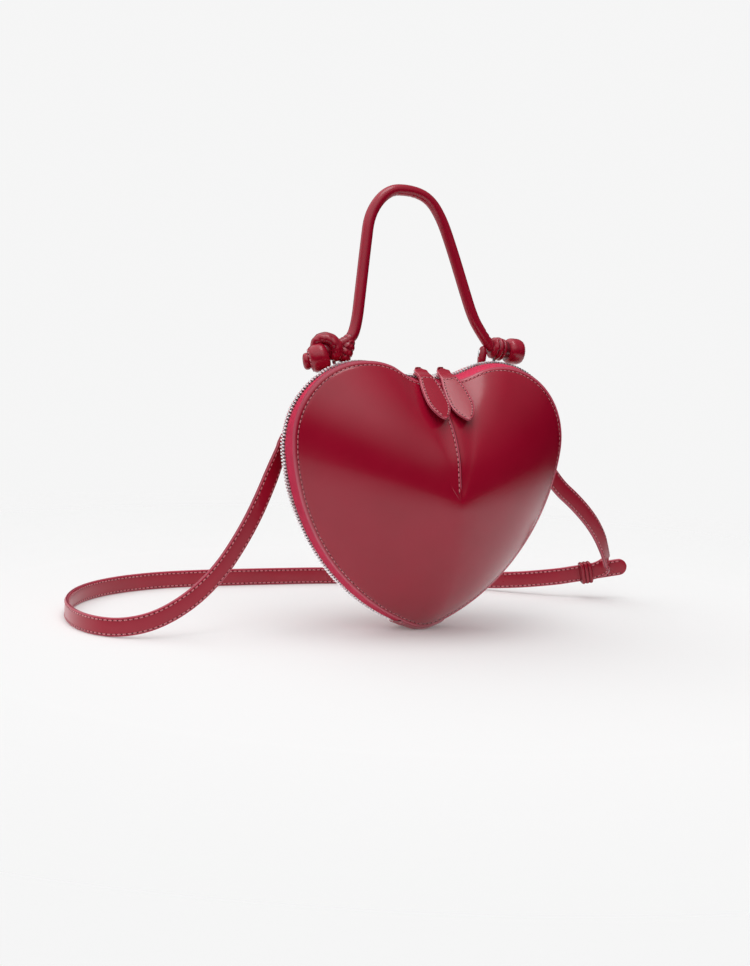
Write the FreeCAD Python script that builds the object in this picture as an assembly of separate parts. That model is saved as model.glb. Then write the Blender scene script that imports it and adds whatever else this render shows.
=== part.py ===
# Heart shaped clamshell purse with a knotted tube handle and a flat shoulder strap.
# Millimetres. The front faces -Y, +Z is up, and the origin is on the floor under the tip of the heart.
import FreeCAD
import Part
import math
import os

V = FreeCAD.Vector

# Heart outline of one leather panel, measured at its sewn edge
PANEL_WIDTH = 200.0
PANEL_HEIGHT = 171.0
LOBE_RADIUS = 50.0
NOTCH_RADIUS = 72.0
SIDE_RADIUS = 139.5
TIP_RADIUS = 23.0

# Radii of the same outline close to the peak, where the chin is rounder and the dart sharper
INNER_TIP_RADIUS = 62.0
INNER_NOTCH_RADIUS = 40.0

# Domed panels: a cone round the end of the sewn dart, fuller towards the edge
GUSSET_WIDTH = 22.0
PEAK_RISE = 41.0
PEAK_HEIGHT = 86.5
LEATHER_WALL = 2.0
PANEL_EDGE_WALL = 2.4
CONE_SHARE = 0.65
SOFT_PEAK_SHARE = 0.15
EDGE_POWER = 4
SLOPE_STEP_SHARE = 0.01
SECTION_SHARES = (1.0, 0.94, 0.85, 0.72, 0.56, 0.38, 0.2, 0.06)

# Lining inside each panel
LINING_WALL = 0.8
LINING_GAP = 0.3

# Zip tape and teeth; the chain stands proud of the panel edges
CHAIN_STAND = 1.5
TAPE_WALL = 0.8
TAPE_TUCK = 1.2
TAPE_FLAT = 4.0
TOOTH_PITCH = 2.2
TOOTH_LENGTH = 2.4
TOOTH_REACH = 0.3
TOOTH_BASE_WIDTH = 1.1
TOOTH_HEAD_WIDTH = 0.6
TOOTH_DEPTH = 2.2
CHAIN_UNDER_SLIDER = 2.0
ZIP_END_HALF = 16.0
STOP_LENGTH = 3.0
STOP_GAP = 0.6

# Leather hinge that joins the two panels under the tip, cut flat where the purse stands
HINGE_WALL = 2.4
HINGE_STAND = 3.1
HINGE_HALF_FLAT = 7.0
HINGE_EDGE_STAND = 0.4
HINGE_CLEARANCE = 0.3
FOOT_FLAT_DEPTH = 0.6

# Zip sliders, built on the chain's centre line; they rest at these distances from the middle of the notch
SLIDER_REST = {"left": 8.2, "right": 10.0}
SLIDER_LENGTH = 9.0
SLIDER_NOSE_WIDTH = 7.4
SLIDER_TAIL_WIDTH = 7.0
SLIDER_PLATE = 1.1
SLIDER_THROAT = 3.0
SLIDER_LIP = 0.4
SLIDER_LIP_WALL = 0.6
SLIDER_POST_LENGTH = 1.4
SLIDER_POST_WIDTH = 0.9
SLIDER_POST_CLEARANCE = 0.3
SLIDER_CORNER = 1.2

# Bail on each slider and the leaf shaped leather pull that hangs on it
BAIL_LENGTH = 6.0
BAIL_WALL = 0.8
BAIL_WIDTH = 1.4
BAIL_HEIGHT = 2.6
BAIL_FORWARD = 1.0
PULL_LAYER = 1.0
PULL_BORE_RADIUS = 1.2
PULL_SLEEVE_WIDTH = 3.2
PULL_NECK_REACH = 11.0
PULL_NECK_DROP = {"left": 4.0, "right": 4.4}
PULL_TOP_WIDTH = 10.5
PULL_WIDTH = 16.0
PULL_LENGTH = 37.0
PULL_WIDEST_SHARE = 0.58
PULL_TIP_RADIUS = 2.6
PULL_SLOPE_DEG = 50.0
PULL_TILT_DEG = {"left": -2.0, "right": 0.0}

# Rings and their leather tabs behind the lobes
RING_REACH = {"left": 53.0, "right": 57.0}
RING_WIDTH = 11.0
RING_HEIGHT = 12.5
RING_WIRE_RADIUS = 1.1
RING_CORNER = 3.5
RING_BACK = 19.0
RING_BELOW_EDGE = 3.0
TAB_WIDTH = 6.0
TAB_WALL = 1.2
TAB_BORE_CLEARANCE = 0.3
TAB_FOOT_SHARES = (0.97, 0.87)
TAB_FOOT_GAP = 0.4

# Rolled tube handle with a cord core, knotted round the rings
TUBE_RADIUS = 3.75
CORE_RADIUS = 2.6
HANDLE_LEAN_DEG = 10.0
HANDLE_RISE = 115.5
HANDLE_TOP_REACH = {"left": 26.0, "right": 21.5}
HANDLE_TOP_RADIUS = 28.0
HANDLE_WAIST_REACH = {"left": 41.2, "right": 47.5}
HANDLE_WAIST_HEIGHT = {"left": 25.0, "right": 34.0}
HANDLE_WAIST_RADIUS = {"left": 24.0, "right": 38.0}
HANDLE_FOOT_PAST_RING = 3.0
HANDLE_FOOT_HEIGHT = 13.5
KNOT_INSIDE_RING = 3.5
KNOT_ABOVE_RING = 12.0
KNOT_RIDGES = 3
KNOT_RIDGE_WIDTH = 3.1
KNOT_VALLEY_RADIUS = 8.0
KNOT_CREST_RADIUS = 8.6
KNOT_BARREL_LENGTH = 16.0
KNOT_BARREL_RADIUS = 9.6
KNOT_END_LENGTH = 3.0
KNOT_END_RADIUS = 5.4
KNOT_RING_CLEARANCE = 0.15

# Flat strap of two sewn leather layers, its anchors and the slide that sets its length
STRAP_WIDTH = 12.0
STRAP_THICKNESS = 2.8
STRAP_BEND_SHARE = 0.45
STRAP_ARC_STEPS = 3
STRAP_SEAT_GAP = 0.3
ANCHOR_WIDTH = 16.0
ANCHOR_LENGTH = 18.0
ANCHOR_WALL = 1.5
ANCHOR_GAP = 0.4
ANCHOR_ANGLE_DEG = {"left": 30.0, "right": 8.0}
ANCHOR_TURN_DEG = {"left": 0.0, "right": -28.0}
ANCHOR_SHARES = {"left": 0.82, "right": 0.88}
STRAP_START_SHARE = 0.35
STRAP_LEAVE_SHARE = 1.0
KEEPER_LENGTH = 8.4
KEEPER_RIDGES = 3
KEEPER_WALL = 1.6
KEEPER_CLEARANCE = 0.3

# Route of the strap's centre line, chosen by hand: off the back of the left lobe, round a loop on the
# floor, behind the purse, up on the right and through the slide to its rounded end
LONG_STRAP_ROUTE = [
    (-94.5, 23.0, 109.0),
    (-104.0, 20.5, 88.5),
    (-112.0, 19.0, 73.0),
    (-121.5, 17.5, 58.0),
    (-133.0, 16.0, 42.5),
    (-147.5, 15.0, 28.5),
    (-163.5, 15.5, 17.5),
    (-180.0, 17.5, 10.0),
    (-196.5, 23.0, 6.5),
    (-208.5, 34.5, 6.1),
    (-214.0, 55.0, 6.1),
    (-211.5, 82.0, 6.1),
    (-200.5, 112.0, 6.1),
    (-180.0, 141.0, 6.1),
    (-150.0, 162.0, 6.1),
    (-113.0, 172.5, 6.1),
    (-75.0, 172.0, 6.1),
    (-35.0, 167.0, 6.1),
    (8.0, 160.5, 6.1),
    (45.0, 151.0, 6.1),
    (78.0, 135.5, 6.1),
    (107.0, 114.0, 6.4),
    (132.0, 91.0, 9.0),
    (155.0, 68.5, 14.5),
    (202.0, 46.5, 24.5),
]
SHORT_STRAP_ROUTE = [
    (106.5, 20.2, 105.5),
    (122.5, 23.0, 87.8),
    (139.0, 26.2, 76.6),
    (155.5, 29.8, 63.0),
    (168.0, 34.2, 49.8),
    (177.0, 39.0, 37.0),
]
KEEPER_SHARE = 0.42
TUCK_LEAD = 16.6
TUCK_END = 3.9

# How far cutting shapes run past what they cut, the shortest straight run kept, and what counts as upright
OVERRUN = 5.0
SHORTEST_RUN = 0.3
UPRIGHT_SHARE = 0.5

# Values that follow from the sizes above
HALF_GUSSET = GUSSET_WIDTH / 2
STAND = HINGE_STAND - FOOT_FLAT_DEPTH
LOBE = (PANEL_WIDTH / 2 - LOBE_RADIUS, PANEL_HEIGHT - LOBE_RADIUS)
DOWN = -math.pi / 2


# Outline of the heart
def on_arc(centre, radius, angle):
    return centre[0] + radius * math.cos(angle), centre[1] + radius * math.sin(angle)


def direction(start, end):
    return math.atan2(end[1] - start[1], end[0] - start[0])


def side_centre(tip_radius):
    """Centre of the arc that is tangent to the lobe and to the tip, on the far side of the heart."""
    span = math.hypot(LOBE[0], LOBE[1] - tip_radius)
    to_lobe = SIDE_RADIUS - LOBE_RADIUS
    to_tip = SIDE_RADIUS - tip_radius
    along = (span ** 2 + to_tip ** 2 - to_lobe ** 2) / (2 * span)
    across = math.sqrt(to_tip ** 2 - along ** 2)
    toward = direction((0, tip_radius), LOBE)
    x = along * math.cos(toward) - across * math.sin(toward)
    z = tip_radius + along * math.sin(toward) + across * math.cos(toward)
    return x, z


def half_arcs(offset, share=1):
    """Arcs of the right half from notch to tip as centre, radius, first angle, last angle."""
    notch_radius = INNER_NOTCH_RADIUS + share * (NOTCH_RADIUS - INNER_NOTCH_RADIUS)
    tip_radius = INNER_TIP_RADIUS + share * (TIP_RADIUS - INNER_TIP_RADIUS)
    notch = (0, LOBE[1] + math.sqrt((notch_radius + LOBE_RADIUS) ** 2 - LOBE[0] ** 2))
    tip = (0, tip_radius)
    side = side_centre(tip_radius)
    notch_end = direction(notch, LOBE)
    lobe_end = direction(side, LOBE)
    side_end = direction(side, tip)
    return [
        (notch, notch_radius - offset, DOWN, notch_end),
        (LOBE, LOBE_RADIUS + offset, notch_end + math.pi, lobe_end),
        (side, SIDE_RADIUS + offset, lobe_end, side_end),
        (tip, tip_radius + offset, side_end, DOWN),
    ]


def outline_to_space(point, share, y):
    """A point of the outline drawn in towards the peak, at depth y."""
    return V(point[0] * share, y, STAND + PEAK_HEIGHT + share * (point[1] - PEAK_HEIGHT))


def heart_wire(offset, share, y):
    """Closed heart of tangent arcs, offset outwards and then drawn in towards the peak."""
    notch, lobe, side, tip = half_arcs(offset, share)
    right = []
    for centre, radius, first, last in (lobe, side):
        angles = (first, (first + last) / 2, last)
        right.append([on_arc(centre, radius, angle) for angle in angles])
    left = [[(-x, z) for x, z in reversed(arc)] for arc in reversed(right)]
    lowest = on_arc(tip[0], tip[1], DOWN)
    dip = on_arc(notch[0], notch[1], DOWN)
    under = [right[-1][-1], lowest, left[0][0]]
    over = [left[-1][-1], dip, right[0][0]]
    edges = []
    for arc in right + [under] + left + [over]:
        corners = [outline_to_space(point, share, y) for point in arc]
        edges.append(Part.Arc(*corners).toShape())
    return Part.Wire(edges)


def rise_share(share):
    """How much of the peak's height the dome has where the outline is drawn in to this share."""
    soft = SOFT_PEAK_SHARE
    cone = 1 - (math.hypot(share, soft) - soft) / (math.hypot(1, soft) - soft)
    return CONE_SHARE * cone + (1 - CONE_SHARE) * (1 - share ** EDGE_POWER)


# Panels and linings
def dome(inset, peak_rise, skirt):
    """Solid under a dome, with an optional straight skirt behind its edge."""
    wires = [heart_wire(-inset, share, -HALF_GUSSET - peak_rise * rise_share(share)) for share in SECTION_SHARES]
    solid = Part.makeLoft(wires, True, False)
    if skirt:
        back = [heart_wire(-inset, 1.0, -HALF_GUSSET + skirt), wires[0]]
        solid = solid.fuse(Part.makeLoft(back, True, True))
    return solid


def front_panel():
    return dome(0, PEAK_RISE, 0).cut(dome(PANEL_EDGE_WALL, PEAK_RISE - LEATHER_WALL, OVERRUN))


def front_lining():
    inset = PANEL_EDGE_WALL + LINING_GAP
    rise = PEAK_RISE - LEATHER_WALL - LINING_GAP
    return dome(inset, rise, 0).cut(dome(inset + LINING_WALL, rise - LINING_WALL, OVERRUN))


# Bands that follow the outline between the panels
def band(profile, wall):
    """Band of constant wall inside a profile of (offset, y) corners."""
    outer = Part.makeLoft([heart_wire(offset, 1.0, y) for offset, y in profile], True, True)
    first, last = profile[0], profile[-1]
    longer = [(first[0], first[1] - OVERRUN)] + profile + [(last[0], last[1] + OVERRUN)]
    inner = Part.makeLoft([heart_wire(offset - wall, 1.0, y) for offset, y in longer], True, True)
    return outer.cut(inner)


def tip_block(half_width):
    """Block round the tip of the heart, used to part the zip from the hinge."""
    size = (2 * half_width, GUSSET_WIDTH + 2 * OVERRUN, TIP_RADIUS + OVERRUN)
    return Part.makeBox(*size, V(-half_width, -HALF_GUSSET - OVERRUN, -OVERRUN))


def front_zip_tape():
    top = CHAIN_STAND + TAPE_WALL / 2
    edge = TAPE_WALL / 2 - TAPE_TUCK
    profile = [(edge, -HALF_GUSSET), (top, -TAPE_FLAT), (top, -TOOTH_LENGTH)]
    return band(profile, TAPE_WALL).cut(tip_block(ZIP_END_HALF))


def hinge():
    """Leather under the tip: it carries the standing face and reaches from panel to panel."""
    front = -HALF_GUSSET + HINGE_CLEARANCE
    profile = [
        (HINGE_EDGE_STAND, front),
        (HINGE_STAND, -HINGE_HALF_FLAT),
        (HINGE_STAND, HINGE_HALF_FLAT),
        (HINGE_EDGE_STAND, HALF_GUSSET),
    ]
    strip = band(profile, HINGE_WALL).common(tip_block(ZIP_END_HALF - HINGE_CLEARANCE))
    below = Part.makeBox(PANEL_WIDTH, PANEL_WIDTH, OVERRUN, V(-PANEL_WIDTH / 2, -PANEL_WIDTH / 2, -OVERRUN))
    return strip.cut(below)


# Zip chain
def chain_arcs():
    """Arcs of the chain's right half, with its end on the side arc, as lengths along the chain."""
    arcs = half_arcs(CHAIN_STAND)[:3]
    centre, radius, first, _ = arcs[2]
    end = -math.acos((ZIP_END_HALF - centre[0]) / radius)
    arcs[2] = (centre, radius, first, end)
    return arcs


def chain_length():
    return sum(radius * abs(last - first) for _, radius, first, last in chain_arcs())


def chain_station(distance):
    """Point, direction and outward normal of the chain at a distance from the middle of the notch."""
    left = distance
    arcs = chain_arcs()
    for number, (centre, radius, first, last) in enumerate(arcs):
        length = radius * abs(last - first)
        if left <= length or number == len(arcs) - 1:
            break
        left -= length
    turn = 1 if last > first else -1
    angle = first + turn * left / radius
    x, z = on_arc(centre, radius, angle)
    radial = V(math.cos(angle), 0, math.sin(angle))
    along = V(-math.sin(angle), 0, math.cos(angle)) * turn
    outward = radial * -turn
    return V(x, 0, z + STAND), along, outward


def mirrored(shape):
    return shape.mirror(V(0, 0, 0), V(1, 0, 0))


def tooth(distance, side):
    """Tapered tooth standing on the tape of one side (-1 front, 1 back)."""
    centre, along, outward = chain_station(distance)
    base = V(0, side * TOOTH_LENGTH, 0)
    head = V(0, -side * TOOTH_REACH, 0)
    foot = centre - outward * (TOOTH_DEPTH / 2)
    corners = [
        foot + base - along * (TOOTH_BASE_WIDTH / 2),
        foot + base + along * (TOOTH_BASE_WIDTH / 2),
        foot + head + along * (TOOTH_HEAD_WIDTH / 2),
        foot + head - along * (TOOTH_HEAD_WIDTH / 2),
    ]
    outline = Part.Face(Part.makePolygon(corners + corners[:1]))
    return outline.extrude(outward * TOOTH_DEPTH)


def zip_teeth(side):
    """Teeth of one tape (-1 front, 1 back), from under each slider to its lower stop."""
    shift = 0 if side < 0 else TOOTH_PITCH / 2
    teeth = []
    for name, rest in SLIDER_REST.items():
        start = rest - CHAIN_UNDER_SLIDER
        count = int((chain_length() - start - STOP_LENGTH - 2 * STOP_GAP) / TOOTH_PITCH)
        row = [tooth(start + shift + number * TOOTH_PITCH, side) for number in range(count)]
        teeth += [mirrored(one) for one in row] if name == "left" else row
    return Part.Compound(teeth)


def in_frame(shape, origin, first, second, third):
    """Move a shape from the origin's axes to a frame of three unit vectors."""
    matrix = FreeCAD.Matrix(
        first.x, second.x, third.x, origin.x,
        first.y, second.y, third.y, origin.y,
        first.z, second.z, third.z, origin.z,
        0, 0, 0, 1,
    )
    moved = shape.copy()
    moved.Placement = FreeCAD.Placement(matrix)
    return moved


def zip_stop():
    """Metal stop at the lower end of the chain, clamped to the back tape."""
    centre, along, outward = chain_station(chain_length() - STOP_GAP - STOP_LENGTH / 2)
    size = (STOP_LENGTH, TOOTH_LENGTH - TOOTH_REACH, TOOTH_DEPTH)
    block = Part.makeBox(*size, V(-STOP_LENGTH / 2, TOOTH_REACH, -TOOTH_DEPTH / 2))
    return in_frame(block, centre, along, V(0, 1, 0), outward)


# Sliders with their bails
def plate(low):
    """One plate of the slider, wider at the nose, with its lower face at this height."""
    half = SLIDER_LENGTH / 2
    nose = SLIDER_NOSE_WIDTH / 2
    tail = SLIDER_TAIL_WIDTH / 2
    corners = [V(-half, -nose, low), V(half, -tail, low), V(half, tail, low), V(-half, nose, low)]
    solid = Part.Face(Part.makePolygon(corners + corners[:1])).extrude(V(0, 0, SLIDER_PLATE))
    upright = [edge for edge in solid.Edges if abs(edge.tangentAt(edge.FirstParameter).z) > UPRIGHT_SHARE]
    return solid.makeFillet(SLIDER_CORNER, upright)


def slider_body():
    """Two plates joined by the post between the parting rows, with lips beside the tapes."""
    half_throat = SLIDER_THROAT / 2
    body = plate(half_throat).fuse(plate(-half_throat - SLIDER_PLATE))
    lip_length = SLIDER_LENGTH - 2 * SLIDER_CORNER
    lip_y = SLIDER_TAIL_WIDTH / 2 - SLIDER_LIP_WALL
    for y in (-lip_y - SLIDER_LIP_WALL, lip_y):
        for low in (-half_throat, half_throat - SLIDER_LIP):
            corner = V(-lip_length / 2, y, low)
            body = body.fuse(Part.makeBox(lip_length, SLIDER_LIP_WALL, SLIDER_LIP, corner))
    post_y = TOOTH_REACH + SLIDER_POST_CLEARANCE
    corner = V(-SLIDER_LENGTH / 2 + SLIDER_PLATE / 2, post_y, -half_throat)
    body = body.fuse(Part.makeBox(SLIDER_POST_LENGTH, SLIDER_POST_WIDTH, SLIDER_THROAT, corner))
    return body.removeSplitter()


def plate_top():
    return SLIDER_THROAT / 2 + SLIDER_PLATE


def slider_bail():
    """Bridge over the outer plate that the pull hangs on."""
    half = BAIL_LENGTH / 2
    low = plate_top()
    high = low + BAIL_HEIGHT + BAIL_WALL / 2
    y = -BAIL_FORWARD - BAIL_WIDTH / 2
    outer = Part.makeBox(BAIL_LENGTH, BAIL_WIDTH, high - low, V(-half, y, low))
    corners = [edge for edge in outer.Edges if edge.BoundBox.ZLength < BAIL_WALL and edge.BoundBox.XLength < BAIL_WALL]
    upper = [edge for edge in corners if edge.BoundBox.ZMin > low]
    outer = outer.makeFillet(BAIL_WALL, upper)
    window = Part.makeBox(
        BAIL_LENGTH - 2 * BAIL_WALL,
        BAIL_WIDTH + 2 * OVERRUN,
        high - low - BAIL_WALL + OVERRUN,
        V(-half + BAIL_WALL, y - OVERRUN, low - OVERRUN),
    )
    return outer.cut(window)


def on_slider(shape, name):
    """Place a slider's piece on the chain, mirrored for the left lobe."""
    centre, along, outward = chain_station(SLIDER_REST[name])
    placed = in_frame(shape, centre, along, V(0, 1, 0), outward)
    return mirrored(placed) if name == "left" else placed


def pull_pivot(name):
    centre, _, outward = chain_station(SLIDER_REST[name])
    pivot = centre + outward * (plate_top() + BAIL_HEIGHT) - V(0, BAIL_FORWARD, 0)
    return V(-pivot.x, pivot.y, pivot.z) if name == "left" else pivot


def leaf():
    """Leaf of two sewn layers in its own plane: its top edge on the X axis, its tip towards -Y."""
    half_top = PULL_TOP_WIDTH / 2
    half = PULL_WIDTH / 2
    widest = -PULL_LENGTH * PULL_WIDEST_SHARE
    tip_centre = -PULL_LENGTH + PULL_TIP_RADIUS
    drop = widest - tip_centre
    spread = half - half_top
    upper_radius = (spread ** 2 + widest ** 2) / (2 * spread)
    lower_radius = (half ** 2 + drop ** 2 - PULL_TIP_RADIUS ** 2) / (2 * (half - PULL_TIP_RADIUS))
    upper_turn = math.asin(-widest / upper_radius)
    lower_turn = -math.atan2(drop, lower_radius - half)
    shoulder = on_arc((half - upper_radius, widest), upper_radius, upper_turn / 2)
    flank = on_arc((half - lower_radius, widest), lower_radius, lower_turn / 2)
    tip_start = on_arc((0, tip_centre), PULL_TIP_RADIUS, lower_turn)
    right = [(half_top, 0), shoulder, (half, widest), flank, tip_start]
    left = [(-x, y) for x, y in reversed(right)]
    around = [V(x, y, 0) for x, y in right + [(0, -PULL_LENGTH)] + left]
    edges = [Part.Arc(*around[number:number + 3]).toShape() for number in range(0, len(around) - 1, 2)]
    edges.append(Part.LineSegment(around[-1], around[0]).toShape())
    outline = Part.Face(Part.Wire(edges))
    lowered = outline.translated(V(0, 0, -PULL_LAYER))
    return lowered.extrude(V(0, 0, 2 * PULL_LAYER))


def pull(name):
    """Sleeve round the bail, neck that reaches over the panel edge, and leaf that lies on the dome."""
    tilt = math.radians(PULL_TILT_DEG[name])
    slope = math.radians(PULL_SLOPE_DEG)
    across = V(math.cos(tilt), 0, math.sin(tilt))
    hang = V(math.sin(tilt), 0, -math.cos(tilt))
    forward = V(0, -1, 0)
    pivot = pull_pivot(name)
    sleeve_radius = PULL_BORE_RADIUS + PULL_LAYER
    start = pivot - across * (PULL_SLEEVE_WIDTH / 2)
    sleeve = Part.makeCylinder(sleeve_radius, PULL_SLEEVE_WIDTH, start, across)
    bore = Part.makeCylinder(PULL_BORE_RADIUS, PULL_SLEEVE_WIDTH + OVERRUN, start - across * (OVERRUN / 2), across)
    bend = pivot + forward * PULL_NECK_REACH + hang * PULL_NECK_DROP[name]
    reach = bend - pivot
    length = reach.Length
    reach.normalize()
    rise = across.cross(reach)
    half_sleeve = PULL_SLEEVE_WIDTH / 2
    half_top = PULL_TOP_WIDTH / 2
    corners = [
        V(-half_sleeve, 0, -PULL_LAYER),
        V(half_sleeve, 0, -PULL_LAYER),
        V(half_sleeve, BAIL_LENGTH / 2, -PULL_LAYER),
        V(half_top, length, -PULL_LAYER),
        V(-half_top, length, -PULL_LAYER),
        V(-half_sleeve, BAIL_LENGTH / 2, -PULL_LAYER),
    ]
    flat_neck = Part.Face(Part.makePolygon(corners + corners[:1])).extrude(V(0, 0, 2 * PULL_LAYER))
    neck = in_frame(flat_neck, pivot, across, reach, rise)
    down = forward * math.sin(slope) + hang * math.cos(slope)
    placed_leaf = in_frame(leaf(), bend, across, -down, across.cross(-down))
    fold = Part.makeCylinder(PULL_LAYER, PULL_TOP_WIDTH, bend - across * half_top, across)
    solid = sleeve.fuse([neck, fold, placed_leaf]).cut(bore)
    return solid.removeSplitter()


# Dome points behind the purse, used to seat what is sewn to the back panel
def back_dome_point(angle, share):
    """Point of the back dome, drawn in from the right lobe's arc at this angle."""
    point = on_arc(LOBE, LOBE_RADIUS, angle)
    return outline_to_space(point, share, HALF_GUSSET + PEAK_RISE * rise_share(share))


def back_dome_frame(angle, share):
    """Point, direction along the lobe, direction up the dome and outward normal on the back dome."""
    point = back_dome_point(angle, share)
    along = V(math.sin(angle), 0, -math.cos(angle))
    step = SLOPE_STEP_SHARE
    up_dome = back_dome_point(angle, share - step) - back_dome_point(angle, share + step)
    normal = along.cross(up_dome)
    if normal.y < 0:
        normal = -normal
    normal.normalize()
    up = normal.cross(along)
    return point, along, up, normal


# Rings, tabs, handle
def ring_axis():
    """Height of the rings' lower bars, on which the handle swings."""
    past_lobe = RING_REACH["left"] - LOBE[0]
    return STAND + LOBE[1] + math.sqrt(LOBE_RADIUS ** 2 - past_lobe ** 2) - RING_BELOW_EDGE


def handle_frame():
    lean = math.radians(HANDLE_LEAN_DEG)
    up = V(0, math.sin(lean), math.cos(lean))
    return V(0, RING_BACK, ring_axis()), V(1, 0, 0), V(0, math.cos(lean), -math.sin(lean)), up


def rounded_path(points, radii):
    """Wire of straight runs joined by tangent arcs, one radius for each inner corner."""
    edges = []
    start = points[0]
    for before, corner, after, radius in zip(points, points[1:], points[2:], radii):
        back = (before - corner).normalize()
        ahead = (after - corner).normalize()
        half = back.getAngle(ahead) / 2
        cut = radius / math.tan(half)
        middle = (back + ahead).normalize()
        first = corner + back * cut
        last = corner + ahead * cut
        deep = corner + middle * (radius / math.sin(half) - radius)
        if (first - start).Length > SHORTEST_RUN:
            edges.append(Part.LineSegment(start, first).toShape())
        edges.append(Part.Arc(first, deep, last).toShape())
        start = last
    edges.append(Part.LineSegment(start, points[-1]).toShape())
    return Part.Wire(edges)


def tube_along(path, radius):
    start = path.Edges[0]
    direction = start.tangentAt(start.FirstParameter)
    section = Part.Wire(Part.makeCircle(radius, start.valueAt(start.FirstParameter), direction))
    return path.makePipeShell([section], True, True)


def handle_path():
    """Centre line of the tube in the handle's plane, from the left knot over the top to the right one."""
    corners = {}
    for name, ring_reach in RING_REACH.items():
        corners[name] = [
            (HANDLE_TOP_REACH[name], HANDLE_RISE),
            (HANDLE_WAIST_REACH[name], HANDLE_WAIST_HEIGHT[name]),
            (ring_reach + HANDLE_FOOT_PAST_RING, HANDLE_FOOT_HEIGHT),
        ]
    points = [(-x, h) for x, h in reversed(corners["left"])] + corners["right"]
    waists = HANDLE_WAIST_RADIUS
    radii = [waists["left"], HANDLE_TOP_RADIUS, HANDLE_TOP_RADIUS, waists["right"]]
    return rounded_path([V(x, 0, h) for x, h in points], radii)


def on_handle(shape):
    return in_frame(shape, *handle_frame())


def ring(reach, wire_radius):
    """Wire ring of rounded corners whose lower bar lies on the swing axis, in the handle's plane."""
    half = RING_WIDTH / 2
    corners = [
        V(reach, 0, 0),
        V(reach + half, 0, 0),
        V(reach + half, 0, RING_HEIGHT),
        V(reach - half, 0, RING_HEIGHT),
        V(reach - half, 0, 0),
        V(reach, 0, 0),
    ]
    return tube_along(rounded_path(corners, [RING_CORNER] * (len(corners) - 2)), wire_radius)


def bulge(start, length, crest):
    """Arc of the knot's profile that swells from the valley radius to a crest and back."""
    points = [(start, KNOT_VALLEY_RADIUS), (start + length / 2, crest), (start + length, KNOT_VALLEY_RADIUS)]
    return Part.Arc(*[V(x, 0, radius) for x, radius in points]).toShape()


def knot(reach):
    """Tube end tied round the ring: crumpled ridges, a smooth barrel and the sewn end past it."""
    barrel = KNOT_RIDGES * KNOT_RIDGE_WIDTH
    end = barrel + KNOT_BARREL_LENGTH
    ridge = KNOT_RIDGE_WIDTH
    edges = [bulge(number * ridge, ridge, KNOT_CREST_RADIUS) for number in range(KNOT_RIDGES)]
    edges.append(bulge(barrel, KNOT_BARREL_LENGTH, KNOT_BARREL_RADIUS))
    corners = [
        V(end, 0, KNOT_VALLEY_RADIUS),
        V(end, 0, KNOT_END_RADIUS),
        V(end + KNOT_END_LENGTH, 0, KNOT_END_RADIUS),
        V(end + KNOT_END_LENGTH, 0, 0),
        V(0, 0, 0),
        V(0, 0, KNOT_VALLEY_RADIUS),
    ]
    edges += [Part.LineSegment(first, last).toShape() for first, last in zip(corners, corners[1:])]
    solid = Part.Face(Part.Wire(edges)).revolve(V(0, 0, 0), V(1, 0, 0), 360)
    return solid.translated(V(reach - KNOT_INSIDE_RING, 0, KNOT_ABOVE_RING))


def ring_tab(reach):
    """Leather loop round the ring's lower bar whose foot is sewn to the back panel."""
    bar = V(reach, RING_BACK, ring_axis())
    bore_radius = RING_WIRE_RADIUS + TAB_BORE_CLEARANCE
    across = V(1, 0, 0)
    start = bar - across * (TAB_WIDTH / 2)
    sleeve = Part.makeCylinder(bore_radius + TAB_WALL, TAB_WIDTH, start, across)
    bore = Part.makeCylinder(bore_radius, TAB_WIDTH + OVERRUN, start - across * (OVERRUN / 2), across)
    lift = TAB_FOOT_GAP + TAB_WALL / 2
    bends = [bar]
    for share in TAB_FOOT_SHARES:
        angle = math.acos((reach / share - LOBE[0]) / LOBE_RADIUS)
        point, _, _, normal = back_dome_frame(angle, share)
        steepness = abs(normal.x) / math.hypot(normal.y, normal.z)
        square = V(0, normal.y, normal.z).normalize()
        bends.append(point + square * (lift + steepness * TAB_WIDTH / 2))
    pieces = []
    for first, last in zip(bends, bends[1:]):
        run = last - first
        length = run.Length
        run.normalize()
        strip = Part.makeBox(TAB_WIDTH, length, TAB_WALL, V(-TAB_WIDTH / 2, 0, -TAB_WALL / 2))
        pieces.append(in_frame(strip, first, across, run, across.cross(run)))
    bend = Part.makeCylinder(TAB_WALL / 2, TAB_WIDTH, bends[1] - across * (TAB_WIDTH / 2), across)
    return sleeve.fuse(pieces + [bend]).cut(bore).removeSplitter()


# Strap
def strap_radii(points):
    """Largest radius that each inner corner of the route has room for."""
    radii = []
    for before, corner, after in zip(points, points[1:], points[2:]):
        turn = math.pi - (before - corner).getAngle(after - corner)
        shorter = min((before - corner).Length, (after - corner).Length)
        radii.append(STRAP_BEND_SHARE * shorter / math.tan(turn / 2))
    return radii


def strap_stations(path):
    """Points and directions along a path: the ends of its runs and steps along its arcs."""
    stations = []
    for edge in path.OrderedEdges:
        steps = 1 if edge.Curve.TypeId == "Part::GeomLine" else STRAP_ARC_STEPS
        low, high = edge.FirstParameter, edge.LastParameter
        if edge.Orientation == "Reversed":
            low, high = high, low
        for number in range(steps + 1):
            at = low + (high - low) * number / steps
            point = edge.valueAt(at)
            along = edge.tangentAt(at)
            if edge.Orientation == "Reversed":
                along = -along
            if not stations or (point - stations[-1][0]).Length > SHORTEST_RUN:
                stations.append((point, along))
    return stations


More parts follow.
